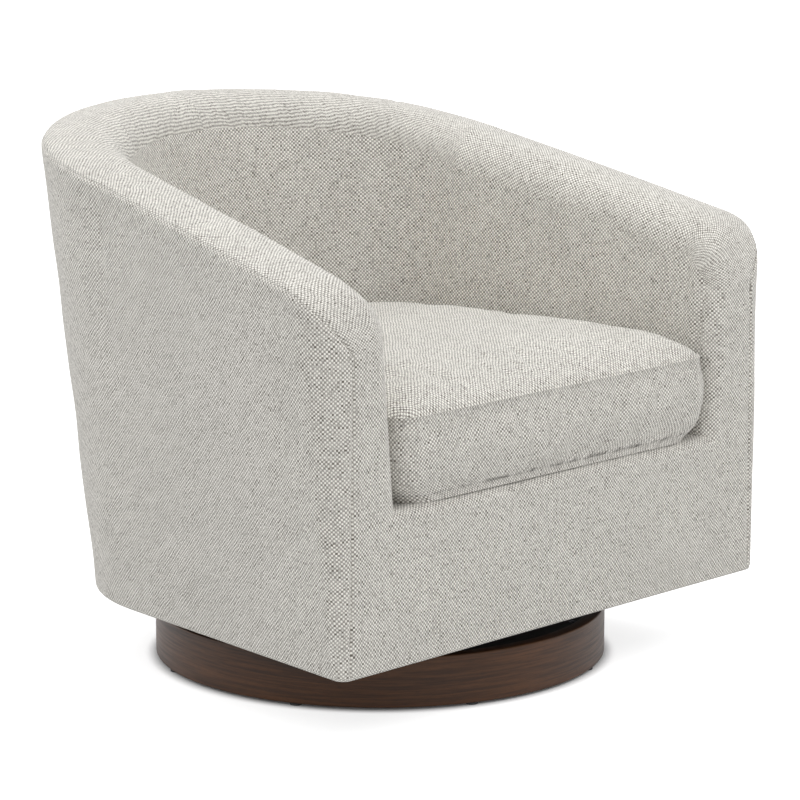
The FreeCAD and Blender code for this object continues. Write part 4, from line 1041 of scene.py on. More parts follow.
@dataclass
class DeckCover:
    """Cloth of the deck behind the front panel's roll, tucked down at its edge."""

    form: ShellForm = field(default_factory=ShellForm)
    sway: Sway = field(default_factory=lambda: Sway(amplitude=0.0004, seed=4))
    height: float = 0.2898
    inset: float = 0.1000
    front: float = -0.212
    tuck: float = 0.004

    def build(self) -> bpy.types.Object:
        """Make the deck's cloth."""
        mesh = ClothMesh()
        rim = ring_of(self.form, self.inset, self.front, 0.004, self.height, (30, 3, 30, 26, 16))
        middle = np.array([0, (self.front + rim[:, 1].max()) / 2, 0])
        scales = np.concatenate([np.linspace(1, 0.93, 9), np.linspace(0.93, 0.03, 16)[1:]])
        layers = []
        for scale in scales:
            ring = middle + (rim - middle) * np.array([scale, scale, 1.0])
            at_back = ring[:, 1] > self.front + 0.012
            ring[:, 2] -= self.tuck * (1 - float(smooth(np.array((1 - scale) / 0.06)))) * at_back
            layers.append(ring)
        grid = np.stack(layers)
        mesh.grid(grid, grid[..., :2], close=True)
        mesh.cap(grid[-1], grid[-1][:, :2])
        return mesh.build("deck_cover_cloth")


@dataclass
class DrumPlinth:
    """Turned drum of the plinth, with eased edges, a wall and an open foot."""

    radius: float = 0.300
    wall: float = 0.018
    low: float = 0.003
    high: float = 0.069
    ease: float = 0.0025
    steps: int = 240

    def profile(self) -> Array:
        """Closed outline of the wall: radius and height, anticlockwise."""
        r0, r1, e = self.radius - self.wall, self.radius, self.ease
        line = []
        corners = ((r1 - e, self.low + e, -90), (r1 - e, self.high - e, 0),
                   (r0 + e, self.high - e, 90), (r0 + e, self.low + e, 180))
        for cx, cz, start in corners:
            for a in radians(np.linspace(start, start + 90, 7)):
                line.append((cx + e * math.cos(a), cz + e * math.sin(a)))
        outer = [(r1, z) for z in np.linspace(self.low + e, self.high - e, 6)[1:-1]]
        return np.array(line[:7] + outer + line[7:] + line[:1])

    def build(self) -> bpy.types.Object:
        """Make the drum."""
        mesh = ClothMesh()
        outline = self.profile()
        a = np.linspace(0, 2 * math.pi, self.steps + 1)
        points = np.stack([outline[:, :1] * np.cos(a), outline[:, :1] * np.sin(a),
                           outline[:, 1:] + 0 * a], -1)
        path = np.concatenate([[0], np.cumsum(np.linalg.norm(np.diff(outline, axis=0), axis=1))])
        uv = np.stack([np.broadcast_to(a * self.radius, points.shape[:2]),
                       np.broadcast_to(path[:, None], points.shape[:2])], -1)
        mesh.grid(points, uv, flip=True)
        return mesh.build("plinth_drum")


Feed = "bpy.types.NodeSocket | float | tuple[float, ...]"


class Graph:
    """Adds and links the nodes of one tree."""

    def __init__(self, tree: bpy.types.NodeTree) -> None:
        """Work on a tree."""
        self.tree = tree

    def feed(self, socket: bpy.types.NodeSocket, value: Feed) -> None:
        """Link a socket, or set it to a value."""
        if isinstance(value, bpy.types.NodeSocket):
            self.tree.links.new(value, socket)
        elif isinstance(value, tuple) and len(value) == 3 and socket.type == "RGBA":
            socket.default_value = (*value, 1.0)
        else:
            socket.default_value = value

    def node(self, kind: str, feeds: dict[str | int, Feed] | None = None,
             **settings: object) -> bpy.types.Node:
        """Add a node.

        Args:
            kind: Node type.
            feeds: Values or sockets for its inputs, by name or place.
            **settings: The node's own settings.

        Returns:
            The node.
        """
        node = self.tree.nodes.new(kind)
        for key, value in settings.items():
            setattr(node, key, value)
        for key, value in (feeds or {}).items():
            self.feed(node.inputs[key], value)
        return node

    def math(self, operation: str, *values: Feed, clamp: bool = False) -> bpy.types.NodeSocket:
        """Add a Math node and give its output."""
        node = self.node("ShaderNodeMath", dict(enumerate(values)), operation=operation, use_clamp=clamp)
        return node.outputs[0]

    def ramp(self, value: Feed, low: float, high: float, to_low: float = 0.0, to_high: float = 1.0,
             curve: str = "SMOOTHSTEP") -> bpy.types.NodeSocket:
        """Map a range of values onto another.

        Args:
            value: What is mapped.
            low: Lowest value mapped.
            high: Highest value mapped.
            to_low: What the lowest becomes.
            to_high: What the highest becomes.
            curve: How the values between run.

        Returns:
            The mapped value.
        """
        node = self.node("ShaderNodeMapRange", {0: value, 1: low, 2: high, 3: to_low, 4: to_high},
                         interpolation_type=curve)
        return node.outputs[0]

    def mix(self, factor: Feed, a: Feed, b: Feed, blend: str = "MIX") -> bpy.types.NodeSocket:
        """Mix two colours."""
        node = self.node("ShaderNodeMix", {0: factor, 6: a, 7: b}, data_type="RGBA", blend_type=blend)
        return node.outputs[2]

    def noise(self, vector: Feed, scale: Feed, detail: float = 3.0,
              rough: float = 0.55) -> bpy.types.NodeSocket:
        """Noise from 0 to 1."""
        node = self.node("ShaderNodeTexNoise", {"Vector": vector, "Scale": scale, "Detail": detail,
                                                "Roughness": rough})
        return node.outputs[0]

    def stretch(self, vector: Feed, scale: tuple[float, float, float],
                turn: tuple[float, float, float] = (0.0, 0.0, 0.0)) -> bpy.types.NodeSocket:
        """Scale and turn coordinates."""
        node = self.node("ShaderNodeMapping", {"Vector": vector, "Scale": scale, "Rotation": turn})
        return node.outputs[0]

    def join(self, x: Feed, y: Feed, z: Feed = 0.0) -> bpy.types.NodeSocket:
        """Combine three values."""
        return self.node("ShaderNodeCombineXYZ", {0: x, 1: y, 2: z}).outputs[0]


def start_group(name: str, inputs: dict[str, tuple[str, object]],
                outputs: dict[str, str]) -> tuple[bpy.types.NodeTree, Graph, bpy.types.Node, bpy.types.Node]:
    """Begin a shader node group.

    Args:
        name: The group's name.
        inputs: Socket name to its type and default.
        outputs: Socket name to its type.

    Returns:
        The tree, its graph, and its input and output nodes.
    """
    tree = bpy.data.node_groups.new(name, "ShaderNodeTree")
    for title, (kind, default) in inputs.items():
        socket = tree.interface.new_socket(title, in_out="INPUT", socket_type=f"NodeSocket{kind}")
        if default is not None:
            socket.default_value = default
    for title, kind in outputs.items():
        tree.interface.new_socket(title, in_out="OUTPUT", socket_type=f"NodeSocket{kind}")
    graph = Graph(tree)
    return tree, graph, graph.node("NodeGroupInput"), graph.node("NodeGroupOutput")


def weave_group() -> bpy.types.NodeTree:
    """Basket weave of slubby threads: light warp over and under darker weft, and a mask of the low hollows
    between threads where the finishes paint shade.
    """
    tree, g, given, out = start_group(
        "slub_basket_weave",
        {"Vector": ("Vector", None), "Pitch": ("Float", 0.0026), "Slub": ("Float", 1.0)},
        {"Height": "Float", "Tone": "Float", "GapShade": "Float"})
    per = g.math("DIVIDE", 1.0, given.outputs["Pitch"])
    scaled = g.node("ShaderNodeVectorMath", {0: given.outputs["Vector"], "Scale": per},
                    operation="SCALE").outputs[0]
    drift = g.node("ShaderNodeTexNoise", {"Vector": scaled, "Scale": 0.11, "Detail": 2.0})
    shift = g.node("ShaderNodeVectorMath", {0: drift.outputs["Color"], 1: (0.5, 0.5, 0.5)},
                   operation="SUBTRACT")
    moved = g.node("ShaderNodeVectorMath", {0: shift.outputs[0], 1: (1.9, 1.9, 0.0), 2: scaled},
                   operation="MULTIPLY_ADD").outputs[0]
    parts = g.node("ShaderNodeSeparateXYZ", {0: moved})
    u, v = parts.outputs[0], parts.outputs[1]
    iu, iv = g.math("FLOOR", u), g.math("FLOOR", v)
    fu = g.math("SUBTRACT", g.math("FRACT", u), 0.5)
    fv = g.math("SUBTRACT", g.math("FRACT", v), 0.5)
    weft = g.math("FLOORED_MODULO", g.math("ADD", iu, iv), 2.0)

    def pick(a: Feed, b: Feed) -> bpy.types.NodeSocket:
        """The first value where the warp is on top, the second where the weft is."""
        node = g.node("ShaderNodeMix", {0: weft, 2: a, 3: b}, data_type="FLOAT")
        return node.outputs[0]

    across, along = pick(fu, fv), pick(fv, fu)
    crown = g.math("COSINE", g.math("MULTIPLY", across, math.pi))
    arch = g.math("MULTIPLY_ADD", g.math("COSINE", g.math("MULTIPLY", along, math.pi)), 0.55, 0.45)
    height = g.math("MULTIPLY", crown, arch)
    thread = pick(iu, g.math("ADD", iv, 517.0))
    run = pick(v, u)
    streak = g.noise(g.join(g.math("MULTIPLY", thread, 7.31), g.math("MULTIPLY", run, 0.16)), 1.0, 2.0)
    fibre = g.noise(g.join(g.math("MULTIPLY", across, 5.0), g.math("MULTIPLY", run, 0.8), thread), 1.0, 2.0)
    fleck = g.node("ShaderNodeTexWhiteNoise", {"Vector": g.join(iu, iv)}, noise_dimensions="2D").outputs[0]
    dark_fleck = g.ramp(fleck, 0.80, 1.0, curve="LINEAR")
    uneven = g.math("MULTIPLY", g.math("SUBTRACT", streak, 0.5),
                    g.math("MULTIPLY", given.outputs["Slub"], 0.9))
    tone = g.math("MULTIPLY_ADD", weft, 0.66, 0.05)
    tone = g.math("ADD", tone, uneven)
    tone = g.math("MULTIPLY_ADD", dark_fleck, 0.30, tone)
    tone = g.math("MULTIPLY_ADD", g.math("SUBTRACT", fibre, 0.5), 0.5, tone, clamp=True)
    lift = g.math("MULTIPLY_ADD", g.math("SUBTRACT", streak, 0.5), 0.7, height)
    g.feed(out.inputs["Height"], lift)
    g.feed(out.inputs["Tone"], tone)
    # GapShade: where the threads dip low; the finishes darken the colour there as painted shade.
    g.feed(out.inputs["GapShade"], g.ramp(height, 0.45, 0.0))
    return tree


def grain_group() -> bpy.types.NodeTree:
    """Wood grain that runs along the first coordinate: broad figure, fine lines and short pores."""
    tree, g, given, out = start_group(
        "wood_grain", {"Vector": ("Vector", None), "Fineness": ("Float", 1.0)},
        {"Figure": "Float", "Lines": "Float", "Pores": "Float"})
    base = g.node("ShaderNodeVectorMath", {0: given.outputs["Vector"], "Scale": given.outputs["Fineness"]},
                  operation="SCALE").outputs[0]
    figure = g.noise(g.stretch(base, (2.2, 26.0, 26.0)), 1.0, 4.0, 0.6)
    bent = g.math("MULTIPLY", figure, 3.0)
    parts = g.node("ShaderNodeSeparateXYZ", {0: base})
    v = g.math("MULTIPLY_ADD", parts.outputs[1], 260.0, bent)
    w = g.math("MULTIPLY", parts.outputs[2], 260.0)
    lines = g.noise(g.join(g.math("MULTIPLY", parts.outputs[0], 9.0), v, w), 1.0, 4.0, 0.65)
    pores = g.noise(g.stretch(base, (70.0, 1500.0, 1500.0)), 1.0, 1.0, 0.5)
    g.feed(out.inputs["Figure"], figure)
    g.feed(out.inputs["Lines"], lines)
    g.feed(out.inputs["Pores"], g.ramp(pores, 0.58, 0.72))
    return tree


def wear_group() -> bpy.types.NodeTree:
    """Cloudy soil and fine scratches for hard parts."""
    tree, g, given, out = start_group(
        "cloud_and_scratch", {"Vector": ("Vector", None), "Scale": ("Float", 1.0)},
        {"Cloud": "Float", "Scratch": "Float"})
    base = g.node("ShaderNodeVectorMath", {0: given.outputs["Vector"], "Scale": given.outputs["Scale"]},
                  operation="SCALE").outputs[0]
    g.feed(out.inputs["Cloud"], g.noise(base, 22.0, 4.0, 0.6))
    fine = g.noise(g.stretch(base, (900.0, 60.0, 200.0), (0.2, 0.4, 0.7)), 1.0, 2.0)
    g.feed(out.inputs["Scratch"], g.ramp(fine, 0.6, 0.75))
    return tree


Colour = tuple[float, float, float]


def tint(red: int, green: int, blue: int) -> Colour:
    """Linear colour of screen values from 0 to 255."""
    return tuple(((c / 255 + 0.055) / 1.055) ** 2.4 if c > 10 else c / 255 / 12.92
                 for c in (red, green, blue))


@dataclass(frozen=True)
class Finish:
    """What every finish shares: its name and its constant shader values."""

    name: str
    roughness: float = 0.6
    sheen: float = 0.0
    coat: float = 0.0
    coat_roughness: float = 0.2
    specular: float = 0.5
    metal: float = 0.0
    uses_uv: bool = False

    def start(self) -> tuple[bpy.types.Material, Graph, bpy.types.Node, bpy.types.NodeSocket]:
        """Begin the material.

        Returns:
            The material, its graph, its Principled shader and its coordinates.
        """
        material = bpy.data.materials.new(self.name)
        material.use_nodes = True
        graph = Graph(material.node_tree)
        shader = material.node_tree.nodes["Principled BSDF"]
        for title, value in (("Roughness", self.roughness), ("Sheen Weight", self.sheen),
                             ("Coat Weight", self.coat), ("Coat Roughness", self.coat_roughness),
                             ("Specular IOR Level", self.specular), ("Metallic", self.metal)):
            shader.inputs[title].default_value = value
        shader.inputs["Sheen Roughness"].default_value = 0.5
        if self.uses_uv:
            place = graph.node("ShaderNodeUVMap", uv_map="cloth").outputs[0]
        else:
            place = graph.node("ShaderNodeTexCoord").outputs["Object"]
        return material, graph, shader, place

    def use(self, graph: Graph, name: str, feeds: dict[str | int, Feed]) -> bpy.types.Node:
        """Place a shared node group in a material."""
        return graph.node("ShaderNodeGroup", feeds, node_tree=bpy.data.node_groups[name])

    def bump(self, graph: Graph, shader: bpy.types.Node, height: Feed, distance: float,
             strength: float) -> None:
        """Give the surface relief."""
        bump = graph.node("ShaderNodeBump", {"Strength": strength, "Distance": distance, "Height": height})
        graph.feed(shader.inputs["Normal"], bump.outputs[0])


@dataclass(frozen=True)
class WovenFinish(Finish):
    """Woven cloth of light and dark threads."""

    light: Colour = tint(243, 240, 233)
    dark: Colour = tint(106, 101, 93)
    pitch: float = 0.0026
    slub: float = 1.0
    relief: float = 0.0006
    # How strongly shade is painted into the weave's hollows.
    shade: float = 0.45

    def make(self) -> bpy.types.Material:
        """Build the material."""
        material, g, shader, place = self.start()
        weave = self.use(g, "slub_basket_weave", {"Vector": place, "Pitch": self.pitch, "Slub": self.slub})
        colour = g.mix(weave.outputs["Tone"], self.light, self.dark)
        broad = g.ramp(g.noise(place, 9.0, 3.0), 0.3, 0.7, 0.96, 1.03, "LINEAR")
        colour = g.mix(1.0, colour, g.join(broad, broad, broad), "MULTIPLY")
        # Painted shade: the colour is mixed towards a darker tone in the weave's hollows.
        gap = g.math("MULTIPLY", weave.outputs["GapShade"], self.shade)
        g.feed(shader.inputs["Base Color"], g.mix(gap, colour, tuple(c * 0.35 for c in self.dark)))
        self.bump(g, shader, weave.outputs["Height"], self.relief, 0.6)
        return material


@dataclass(frozen=True)
class WoodFinish(Finish):
    """Wood with grain along the first coordinate, stained or bare."""

    light: Colour = tint(86, 54, 30)
    dark: Colour = tint(38, 21, 11)
    pore: Colour = tint(24, 14, 9)
    fineness: float = 1.0
    turn: tuple[float, float, float] = (0.0, 0.0, 0.0)
    layers: float = 0.0

    def make(self) -> bpy.types.Material:
        """Build the material."""
        material, g, shader, place = self.start()
        turned = g.stretch(place, (1.0, 1.0, 1.0), self.turn)
        grain = self.use(g, "wood_grain", {"Vector": turned, "Fineness": self.fineness})
        blend = g.math("MULTIPLY_ADD", g.ramp(grain.outputs["Lines"], 0.35, 0.65), 0.55,
                       g.math("MULTIPLY", g.ramp(grain.outputs["Figure"], 0.3, 0.7), 0.45))
        colour = g.mix(blend, self.light, self.dark)
        colour = g.mix(g.math("MULTIPLY", grain.outputs["Pores"], 0.5), colour, self.pore)
        if self.layers:
            height = g.node("ShaderNodeSeparateXYZ", {0: place}).outputs[2]
            stripe = g.math("FRACT", g.math("DIVIDE", height, self.layers))
            dark_ply = g.ramp(stripe, 0.45, 0.55, 0.0, 0.35)
            colour = g.mix(dark_ply, colour, self.dark)
        g.feed(shader.inputs["Base Color"], colour)
        rough = g.ramp(grain.outputs["Lines"], 0.2, 0.8, self.roughness - 0.05, self.roughness + 0.08,
                       "LINEAR")
        g.feed(shader.inputs["Roughness"], rough)
        relief = g.math("SUBTRACT", grain.outputs["Lines"], grain.outputs["Pores"])
        self.bump(g, shader, relief, 0.00012, 0.35)
        return material


@dataclass(frozen=True)
class PlainFinish(Finish):
    """Metal, plastic, card, foam or fibre with cloudy colour and a fine surface."""

    light: Colour = (0.5, 0.5, 0.5)
    dark: Colour = (0.4, 0.4, 0.4)
    scale: float = 1.0
    relief: float = 0.00005
    cells: float = 0.0
    cell_relief: float = 0.0006

    def make(self) -> bpy.types.Material:
        """Build the material."""
        material, g, shader, place = self.start()
        wear = self.use(g, "cloud_and_scratch", {"Vector": place, "Scale": self.scale})
        colour = g.mix(g.ramp(wear.outputs["Cloud"], 0.3, 0.7), self.light, self.dark)
        rough = g.ramp(wear.outputs["Scratch"], 0.0, 1.0, self.roughness, min(1.0, self.roughness + 0.15),
                       "LINEAR")
        g.feed(shader.inputs["Roughness"], rough)
        if self.cells:
            voronoi = g.node("ShaderNodeTexVoronoi", {"Vector": place, "Scale": self.cells})
            hollow = g.ramp(voronoi.outputs["Distance"], 0.0, 0.6)
            # Painted shade: the cells' pits are mixed towards the dark colour.
            colour = g.mix(g.math("MULTIPLY", g.math("SUBTRACT", 1.0, hollow), 0.35), colour, self.dark)
            self.bump(g, shader, hollow, self.cell_relief, 0.6)
        else:
            self.bump(g, shader, wear.outputs["Scratch"], self.relief, 0.4)
        g.feed(shader.inputs["Base Color"], colour)
        return material


class Wardrobe:
    """Every finish of the chair, by the record's slot."""

    def __init__(self) -> None:
        """Build the shared groups and all the materials."""
        weave_group()
        grain_group()
        wear_group()
        cloth = WovenFinish("cloth_covers", 0.92, 0.22, specular=0.25, uses_uv=True)
        metal = dict(metal=1.0, specular=0.5)
        finishes = {
            "oatmeal_weave": WovenFinish("oatmeal_weave", 0.92, 0.22, specular=0.25),
            "deck_fabric": WovenFinish("deck_fabric", 0.92, 0.15, specular=0.25),
            "walnut_stain": WoodFinish("walnut_stain", 0.42, coat=0.25, coat_roughness=0.25),
            "dark_panel": WoodFinish("dark_panel", 0.6, light=tint(42, 34, 29), dark=tint(24, 19, 16)),
            "bare_ply": WoodFinish("bare_ply", 0.7, light=tint(206, 176, 134), dark=tint(158, 122, 84),
                                   pore=tint(120, 88, 58), layers=0.0024),
            "bare_pine": WoodFinish("bare_pine", 0.7, light=tint(222, 190, 142), dark=tint(186, 142, 92),
                                    pore=tint(150, 104, 62), fineness=0.6),
            "nylon": PlainFinish("nylon", 0.45, light=tint(38, 38, 40), dark=tint(28, 28, 30)),
            "zinc_plate": PlainFinish("zinc_plate", 0.34, light=tint(186, 188, 190), dark=tint(150, 152, 156),
                                      **metal),
            "bearing_steel": PlainFinish("bearing_steel", 0.16, light=tint(196, 198, 202),
                                         dark=tint(176, 178, 184), **metal),
            "spring_steel": PlainFinish("spring_steel", 0.4, light=tint(96, 94, 92), dark=tint(62, 60, 60),
                                        **metal),
            "black_cambric": WovenFinish("black_cambric", 0.9, light=tint(34, 34, 36), dark=tint(16, 16, 18),
                                         pitch=0.0012, relief=0.0002, shade=0.3),
            "jute_lining": WovenFinish("jute_lining", 0.95, light=tint(178, 146, 100), dark=tint(120, 90, 56),
                                       pitch=0.0032, shade=0.6),
            "card_strip": PlainFinish("card_strip", 0.8, light=tint(176, 150, 112), dark=tint(150, 124, 88),
                                      scale=3.0),
            "fibre_wadding": PlainFinish("fibre_wadding", 0.95, 0.3, light=tint(238, 238, 236),
                                         dark=tint(214, 214, 212), cells=260.0, cell_relief=0.0015),
            "foam": PlainFinish("foam", 0.9, light=tint(236, 224, 176), dark=tint(206, 190, 140), cells=900.0),
        }
        self.by_slot = {slot: finish.make() for slot, finish in finishes.items()}
        self.cloth = cloth.make()
        self.drum = WoodFinish("drum_veneer", 0.46, coat=0.05, coat_roughness=0.3, specular=0.25,
                               uses_uv=True).make()

    def dress_node(self, node: bpy.types.Object) -> None:
        """Give a frame node the finish of each of its slots."""
        for slot in node.material_slots:
            title = slot.material.name.split(".")[0] if slot.material else ""
            if title in self.by_slot:
                slot.material = self.by_slot[title]
            else:
                LOG.warning("node %s has the unknown slot %s", node.name, title)

    def dress(self, obj: bpy.types.Object, material: bpy.types.Material) -> None:
        """Give a piece one finish."""
        obj.data.materials.clear()
        obj.data.materials.append(material)


@dataclass
class StapleRow:
    """Staples that hold the dust cover, along a closed line."""

    crown: float = 0.0105
    wire: float = 0.0009
    spacing: float = 0.034
    height: float = 0.0961
    inset: float = 0.026
    form: ShellForm = field(default_factory=ShellForm)

    def staple(self) -> bpy.types.Object:
        """One staple: a flattened wire crown with two short legs."""
        mesh = bpy.data.meshes.new("staple_shape")
        bm = bmesh.new()
        half, w = self.crown / 2, self.wire / 2
        line = [(-half, 0, w * 3), (-half, 0, 0), (-half + w * 2, 0, -w), (half - w * 2, 0, -w), (half, 0, 0),
                (half, 0, w * 3)]
        rings = []
        for i, (x, y, z) in enumerate(line):
            ahead = Vector(line[min(i + 1, len(line) - 1)]) - Vector(line[max(i - 1, 0)])
            ahead.normalize()
            side = Vector((0, 1, 0))
            up = ahead.cross(side)
            ring = []
            for a in range(6):
                turn = a * math.pi / 3
                off = side * w * math.cos(turn) + up * w * math.sin(turn)
                ring.append(bm.verts.new(Vector((x, y, z)) + off))
            rings.append(ring)
        for one, two in zip(rings, rings[1:]):
            for a in range(6):
                bm.faces.new((one[a], one[(a + 1) % 6], two[(a + 1) % 6], two[a]))
        bm.faces.new(rings[0][::-1])
        bm.faces.new(rings[-1])
        bmesh.ops.recalc_face_normals(bm, faces=bm.faces)
        bm.to_mesh(mesh)
        bm.free()
        return bpy.data.objects.new("staple_shape", mesh)

    def tree(self) -> bpy.types.NodeTree:
        """Node tree that sets staples along a line."""
        tree = bpy.data.node_groups.new("staples_along_line", "GeometryNodeTree")
        tree.interface.new_socket("Geometry", in_out="INPUT", socket_type="NodeSocketGeometry")
        for title, kind, default in (("Spacing", "Float", self.spacing), ("Wander", "Float", 0.12)):
            socket = tree.interface.new_socket(title, in_out="INPUT", socket_type=f"NodeSocket{kind}")
            socket.default_value = default
        tree.interface.new_socket("Seed", in_out="INPUT", socket_type="NodeSocketInt").default_value = 3
        tree.interface.new_socket("Staple", in_out="INPUT", socket_type="NodeSocketObject")
        tree.interface.new_socket("Finish", in_out="INPUT", socket_type="NodeSocketMaterial")
        tree.interface.new_socket("Geometry", in_out="OUTPUT", socket_type="NodeSocketGeometry")
        g = Graph(tree)
        given, out = g.node("NodeGroupInput"), g.node("NodeGroupOutput")
        line = g.node("GeometryNodeMeshToCurve", {"Mesh": given.outputs["Geometry"]})
        spots = g.node("GeometryNodeCurveToPoints",
                       {"Curve": line.outputs[0], "Length": given.outputs["Spacing"]}, mode="LENGTH")
        low = g.math("MULTIPLY", given.outputs["Wander"], -1.0)
        wander = g.node("FunctionNodeRandomValue",
                        {2: low, 3: given.outputs["Wander"], 8: given.outputs["Seed"]}, data_type="FLOAT")
        extra = g.node("ShaderNodeCombineXYZ", {2: wander.outputs[1]})
        face = g.node("FunctionNodeAlignRotationToVector", {"Vector": spots.outputs["Tangent"]}, axis="X",
                      pivot_axis="Z")
        turn = g.node("FunctionNodeRotateRotation", {0: face.outputs[0], 1: extra.outputs[0]})
        item = g.node("GeometryNodeObjectInfo", {"Object": given.outputs["Staple"]})
        put = g.node("GeometryNodeInstanceOnPoints", {"Points": spots.outputs[0],
                                                      "Instance": item.outputs["Geometry"],
                                                      "Rotation": turn.outputs[0]})
        real = g.node("GeometryNodeRealizeInstances", {0: put.outputs[0]})
        dressed = g.node("GeometryNodeSetMaterial", {"Geometry": real.outputs[0],
                                                     "Material": given.outputs["Finish"]})
        g.feed(out.inputs[0], dressed.outputs[0])
        return tree

    def build(self, finish: bpy.types.Material) -> bpy.types.Object:
        """Make the row of staples.

        Args:
            finish: The staples' metal.

        Returns:
            One mesh of all of them.
        """
        ring = ring_of(self.form, self.inset, -0.290, 0.02, self.height, (20, 4, 20, 20, 12))
        mesh = bpy.data.meshes.new("staple_line")
        count = len(ring)
        mesh.from_pydata(ring.tolist(), [(i, (i + 1) % count) for i in range(count)], [])
        carrier = bpy.data.objects.new("dust_cover_staples", mesh)
        shape = self.staple()
        for obj in (carrier, shape):
            bpy.context.scene.collection.objects.link(obj)
        modifier = carrier.modifiers.new("staples", "NODES")
        tree = self.tree()
        modifier.node_group = tree
        keys = {item.name: item.identifier for item in tree.interface.items_tree if item.in_out == "INPUT"}
        modifier[keys["Spacing"]] = self.spacing
        modifier[keys["Staple"]] = shape
        modifier[keys["Finish"]] = finish
        graph = bpy.context.evaluated_depsgraph_get()
        done = bpy.data.meshes.new_from_object(carrier.evaluated_get(graph))
        carrier.modifiers.clear()
        carrier.data = done
        bpy.data.objects.remove(shape)
        return carrier


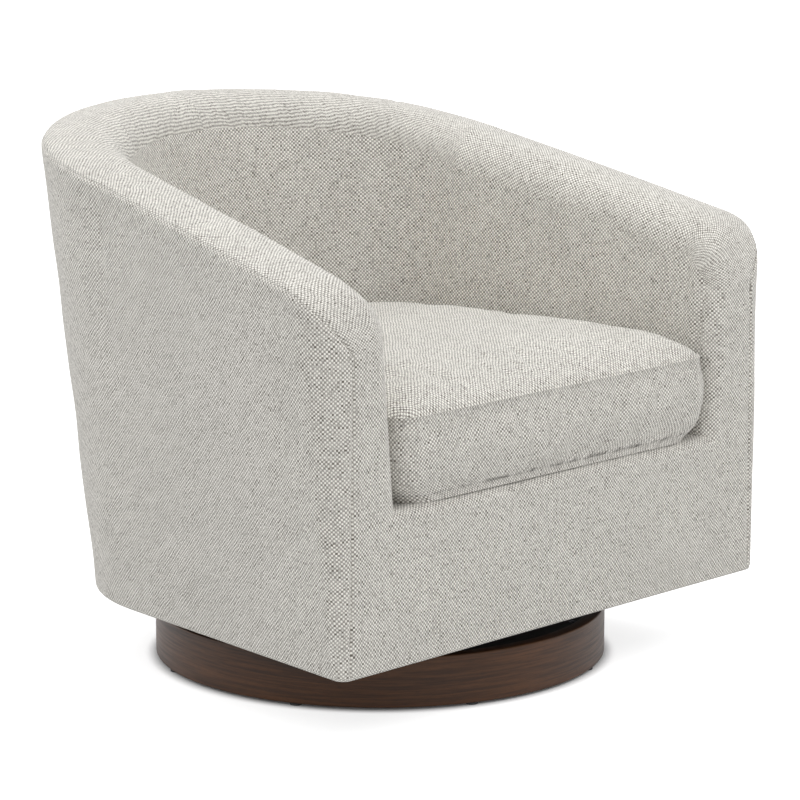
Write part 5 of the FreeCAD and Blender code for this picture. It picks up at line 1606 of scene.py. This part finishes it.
@dataclass
class Studio:
    """White floor and surround, soft light and the long-lens camera."""

    distance: float = 4.69705
    azimuth: float = 46.011
    elevation: float = 11.586
    aim_height: float = 0.3195
    lens: float = 159.6
    sensor: float = 36.0
    shift: tuple[float, float] = (0.02475, 0.018)
    sky: float = 0.86
    lamp: float = 22.0
    floor_glow: float = 0.72
    # Radius inside which the floor's glow is cut: painted shade under the plinth.
    shade_radius: float = 0.305

    def camera(self) -> None:
        """Set the camera."""
        data = bpy.data.cameras.new("camera")
        data.lens, data.sensor_width = self.lens, self.sensor
        data.shift_x, data.shift_y = self.shift
        cam = bpy.data.objects.new("camera", data)
        a, e = radians(self.azimuth), radians(self.elevation)
        aim = Vector((0, 0, self.aim_height))
        way = Vector((-math.sin(a) * math.cos(e), -math.cos(a) * math.cos(e), math.sin(e)))
        cam.location = aim + way * self.distance
        cam.rotation_euler = (-way).to_track_quat("-Z", "Y").to_euler()
        bpy.context.scene.collection.objects.link(cam)
        bpy.context.scene.camera = cam

    def world(self) -> None:
        """White surround as the camera and gloss see it, and an even sky as the light."""
        world = bpy.data.worlds.new("surround")
        world.use_nodes = True
        g = Graph(world.node_tree)
        back = world.node_tree.nodes["Background"]
        path = g.node("ShaderNodeLightPath")
        seen = g.math("MAXIMUM", path.outputs["Is Camera Ray"], path.outputs["Is Transmission Ray"])
        seen = g.math("MAXIMUM", seen, path.outputs["Is Glossy Ray"])
        place = g.node("ShaderNodeTexCoord").outputs["Generated"]
        up = g.node("ShaderNodeSeparateXYZ", {0: place}).outputs[2]
        sky = g.ramp(up, -0.1, 0.9, self.sky * 0.92, self.sky * 1.12, "LINEAR")
        strength = g.node("ShaderNodeMix", {0: seen, 2: sky, 3: 1.0}, data_type="FLOAT")
        g.feed(back.inputs["Strength"], strength.outputs[0])
        back.inputs["Color"].default_value = (1, 1, 1, 1)
        bpy.context.scene.world = world

    def lights(self) -> None:
        """Large soft boxes overhead, in front and behind."""
        for name, spot, size, power, aim in (
                ("top_box", (0.2, 0.5, 2.7), 2.6, self.lamp, (0, 0, 0.4)),
                ("front_box", (0.1, -1.7, 2.5), 1.6, self.lamp * 0.6, (0, 0.3, 0.5)),
                ("back_box", (-2.2, 1.6, 1.8), 1.8, self.lamp * 0.35, (0, 0, 0.5))):
            data = bpy.data.lights.new(name, "AREA")
            data.shape, data.size, data.energy = "SQUARE", size, power
            lamp = bpy.data.objects.new(name, data)
            lamp.location = spot
            lamp.rotation_euler = (Vector(aim) - Vector(spot)).to_track_quat("-Z", "Y").to_euler()
            bpy.context.scene.collection.objects.link(lamp)

    def floor(self) -> None:
        """White floor that keeps a faint shadow, its glow cut under and round the plinth as painted shade."""
        mesh = bpy.data.meshes.new("studio_floor")
        size = 9.0
        corners = [(-size, -size, 0), (size, -size, 0), (size, size, 0), (-size, size, 0)]
        mesh.from_pydata(corners, [], [(0, 1, 2, 3)])
        obj = bpy.data.objects.new("studio_floor", mesh)
        bpy.context.scene.collection.objects.link(obj)
        material = bpy.data.materials.new("studio_floor")
        material.use_nodes = True
        g = Graph(material.node_tree)
        shader = material.node_tree.nodes["Principled BSDF"]
        shader.inputs["Base Color"].default_value = (0.72, 0.72, 0.72, 1)
        shader.inputs["Roughness"].default_value = 0.9
        path = g.node("ShaderNodeLightPath")
        seen = g.math("MAXIMUM", path.outputs["Is Camera Ray"], path.outputs["Is Glossy Ray"])
        seen = g.math("MAXIMUM", seen, path.outputs["Is Transmission Ray"])
        place = g.node("ShaderNodeTexCoord").outputs["Object"]
        flat = g.node("ShaderNodeVectorMath", {0: place}, operation="LENGTH").outputs["Value"]
        # Painted shade: inside shade_radius the floor's glow fades out, so the floor under and just round the
        # plinth reads dark.
        clear = g.ramp(flat, self.shade_radius - 0.012, self.shade_radius + 0.012, 0.04, 1.0)
        glow = g.node("ShaderNodeEmission", {"Strength": g.math("MULTIPLY", g.math("MULTIPLY", seen, clear),
                                                                self.floor_glow)})
        both = g.node("ShaderNodeAddShader", {0: shader.outputs[0], 1: glow.outputs[0]})
        below = g.node("ShaderNodeNewGeometry").outputs["Backfacing"]
        clear_below = g.node("ShaderNodeMixShader", {0: below, 1: both.outputs[0],
                                                     2: g.node("ShaderNodeBsdfTransparent").outputs[0]})
        g.feed(material.node_tree.nodes["Material Output"].inputs[0], clear_below.outputs[0])
        obj.data.materials.append(material)

    def build(self) -> None:
        """Set everything that isn't the chair."""
        bpy.context.scene.view_settings.view_transform = "Standard"
        self.camera()
        self.world()
        self.lights()
        self.floor()


def count_of(obj: bpy.types.Object) -> int:
    """Triangles of a mesh object."""
    return sum(len(p.vertices) - 2 for p in obj.data.polygons)


def main() -> None:
    """Build and dress the chair."""
    logging.basicConfig(level=logging.INFO, format="%(name)s: %(message)s")
    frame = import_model()
    wardrobe = Wardrobe()
    for name, node in frame["nodes"].items():
        wardrobe.dress_node(node)
        LOG.info("node %s dressed", name)
    cover, outer = ShellCovers().build()
    cushion = LooseCushion().build()
    deck = DeckCover().build()
    drum = DrumPlinth().build()
    staples = StapleRow().build(wardrobe.by_slot["zinc_plate"])
    rows = (
        (cover, Body.SHELL, ("front_cover", "inside_cover", "front_pad", "left_arm_foam", "right_arm_foam",
                               "back_foam"), wardrobe.cloth, "oatmeal_weave", 0.9),
        (outer, Body.SHELL, ("outer_cover", "outer_wadding"), wardrobe.cloth, "oatmeal_weave", 0.9),
        (deck, Body.SHELL, ("deck_cloth", "deck_pad"), wardrobe.cloth, "deck_fabric", 0.9),
        (cushion, Body.CUSHION, ("cushion_cover", "cushion_wrap", "cushion_foam"), wardrobe.cloth,
         "oatmeal_weave", 0.8),
        (drum, Body.PLINTH, ("plinth_ring",), wardrobe.drum, "walnut_stain", None),
        (staples, Body.SHELL, (), wardrobe.by_slot["zinc_plate"], "zinc_plate", None))
    for piece, body, nodes, material, slot, fill in rows:
        wardrobe.dress(piece, material)
        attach(piece, body.value)
        if nodes:
            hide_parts(*nodes)
        LOG.info("piece %s: %d triangles, rides on %s", piece.name, count_of(piece), body.value)
    Studio().build()


if __name__ == "__main__":
    main()
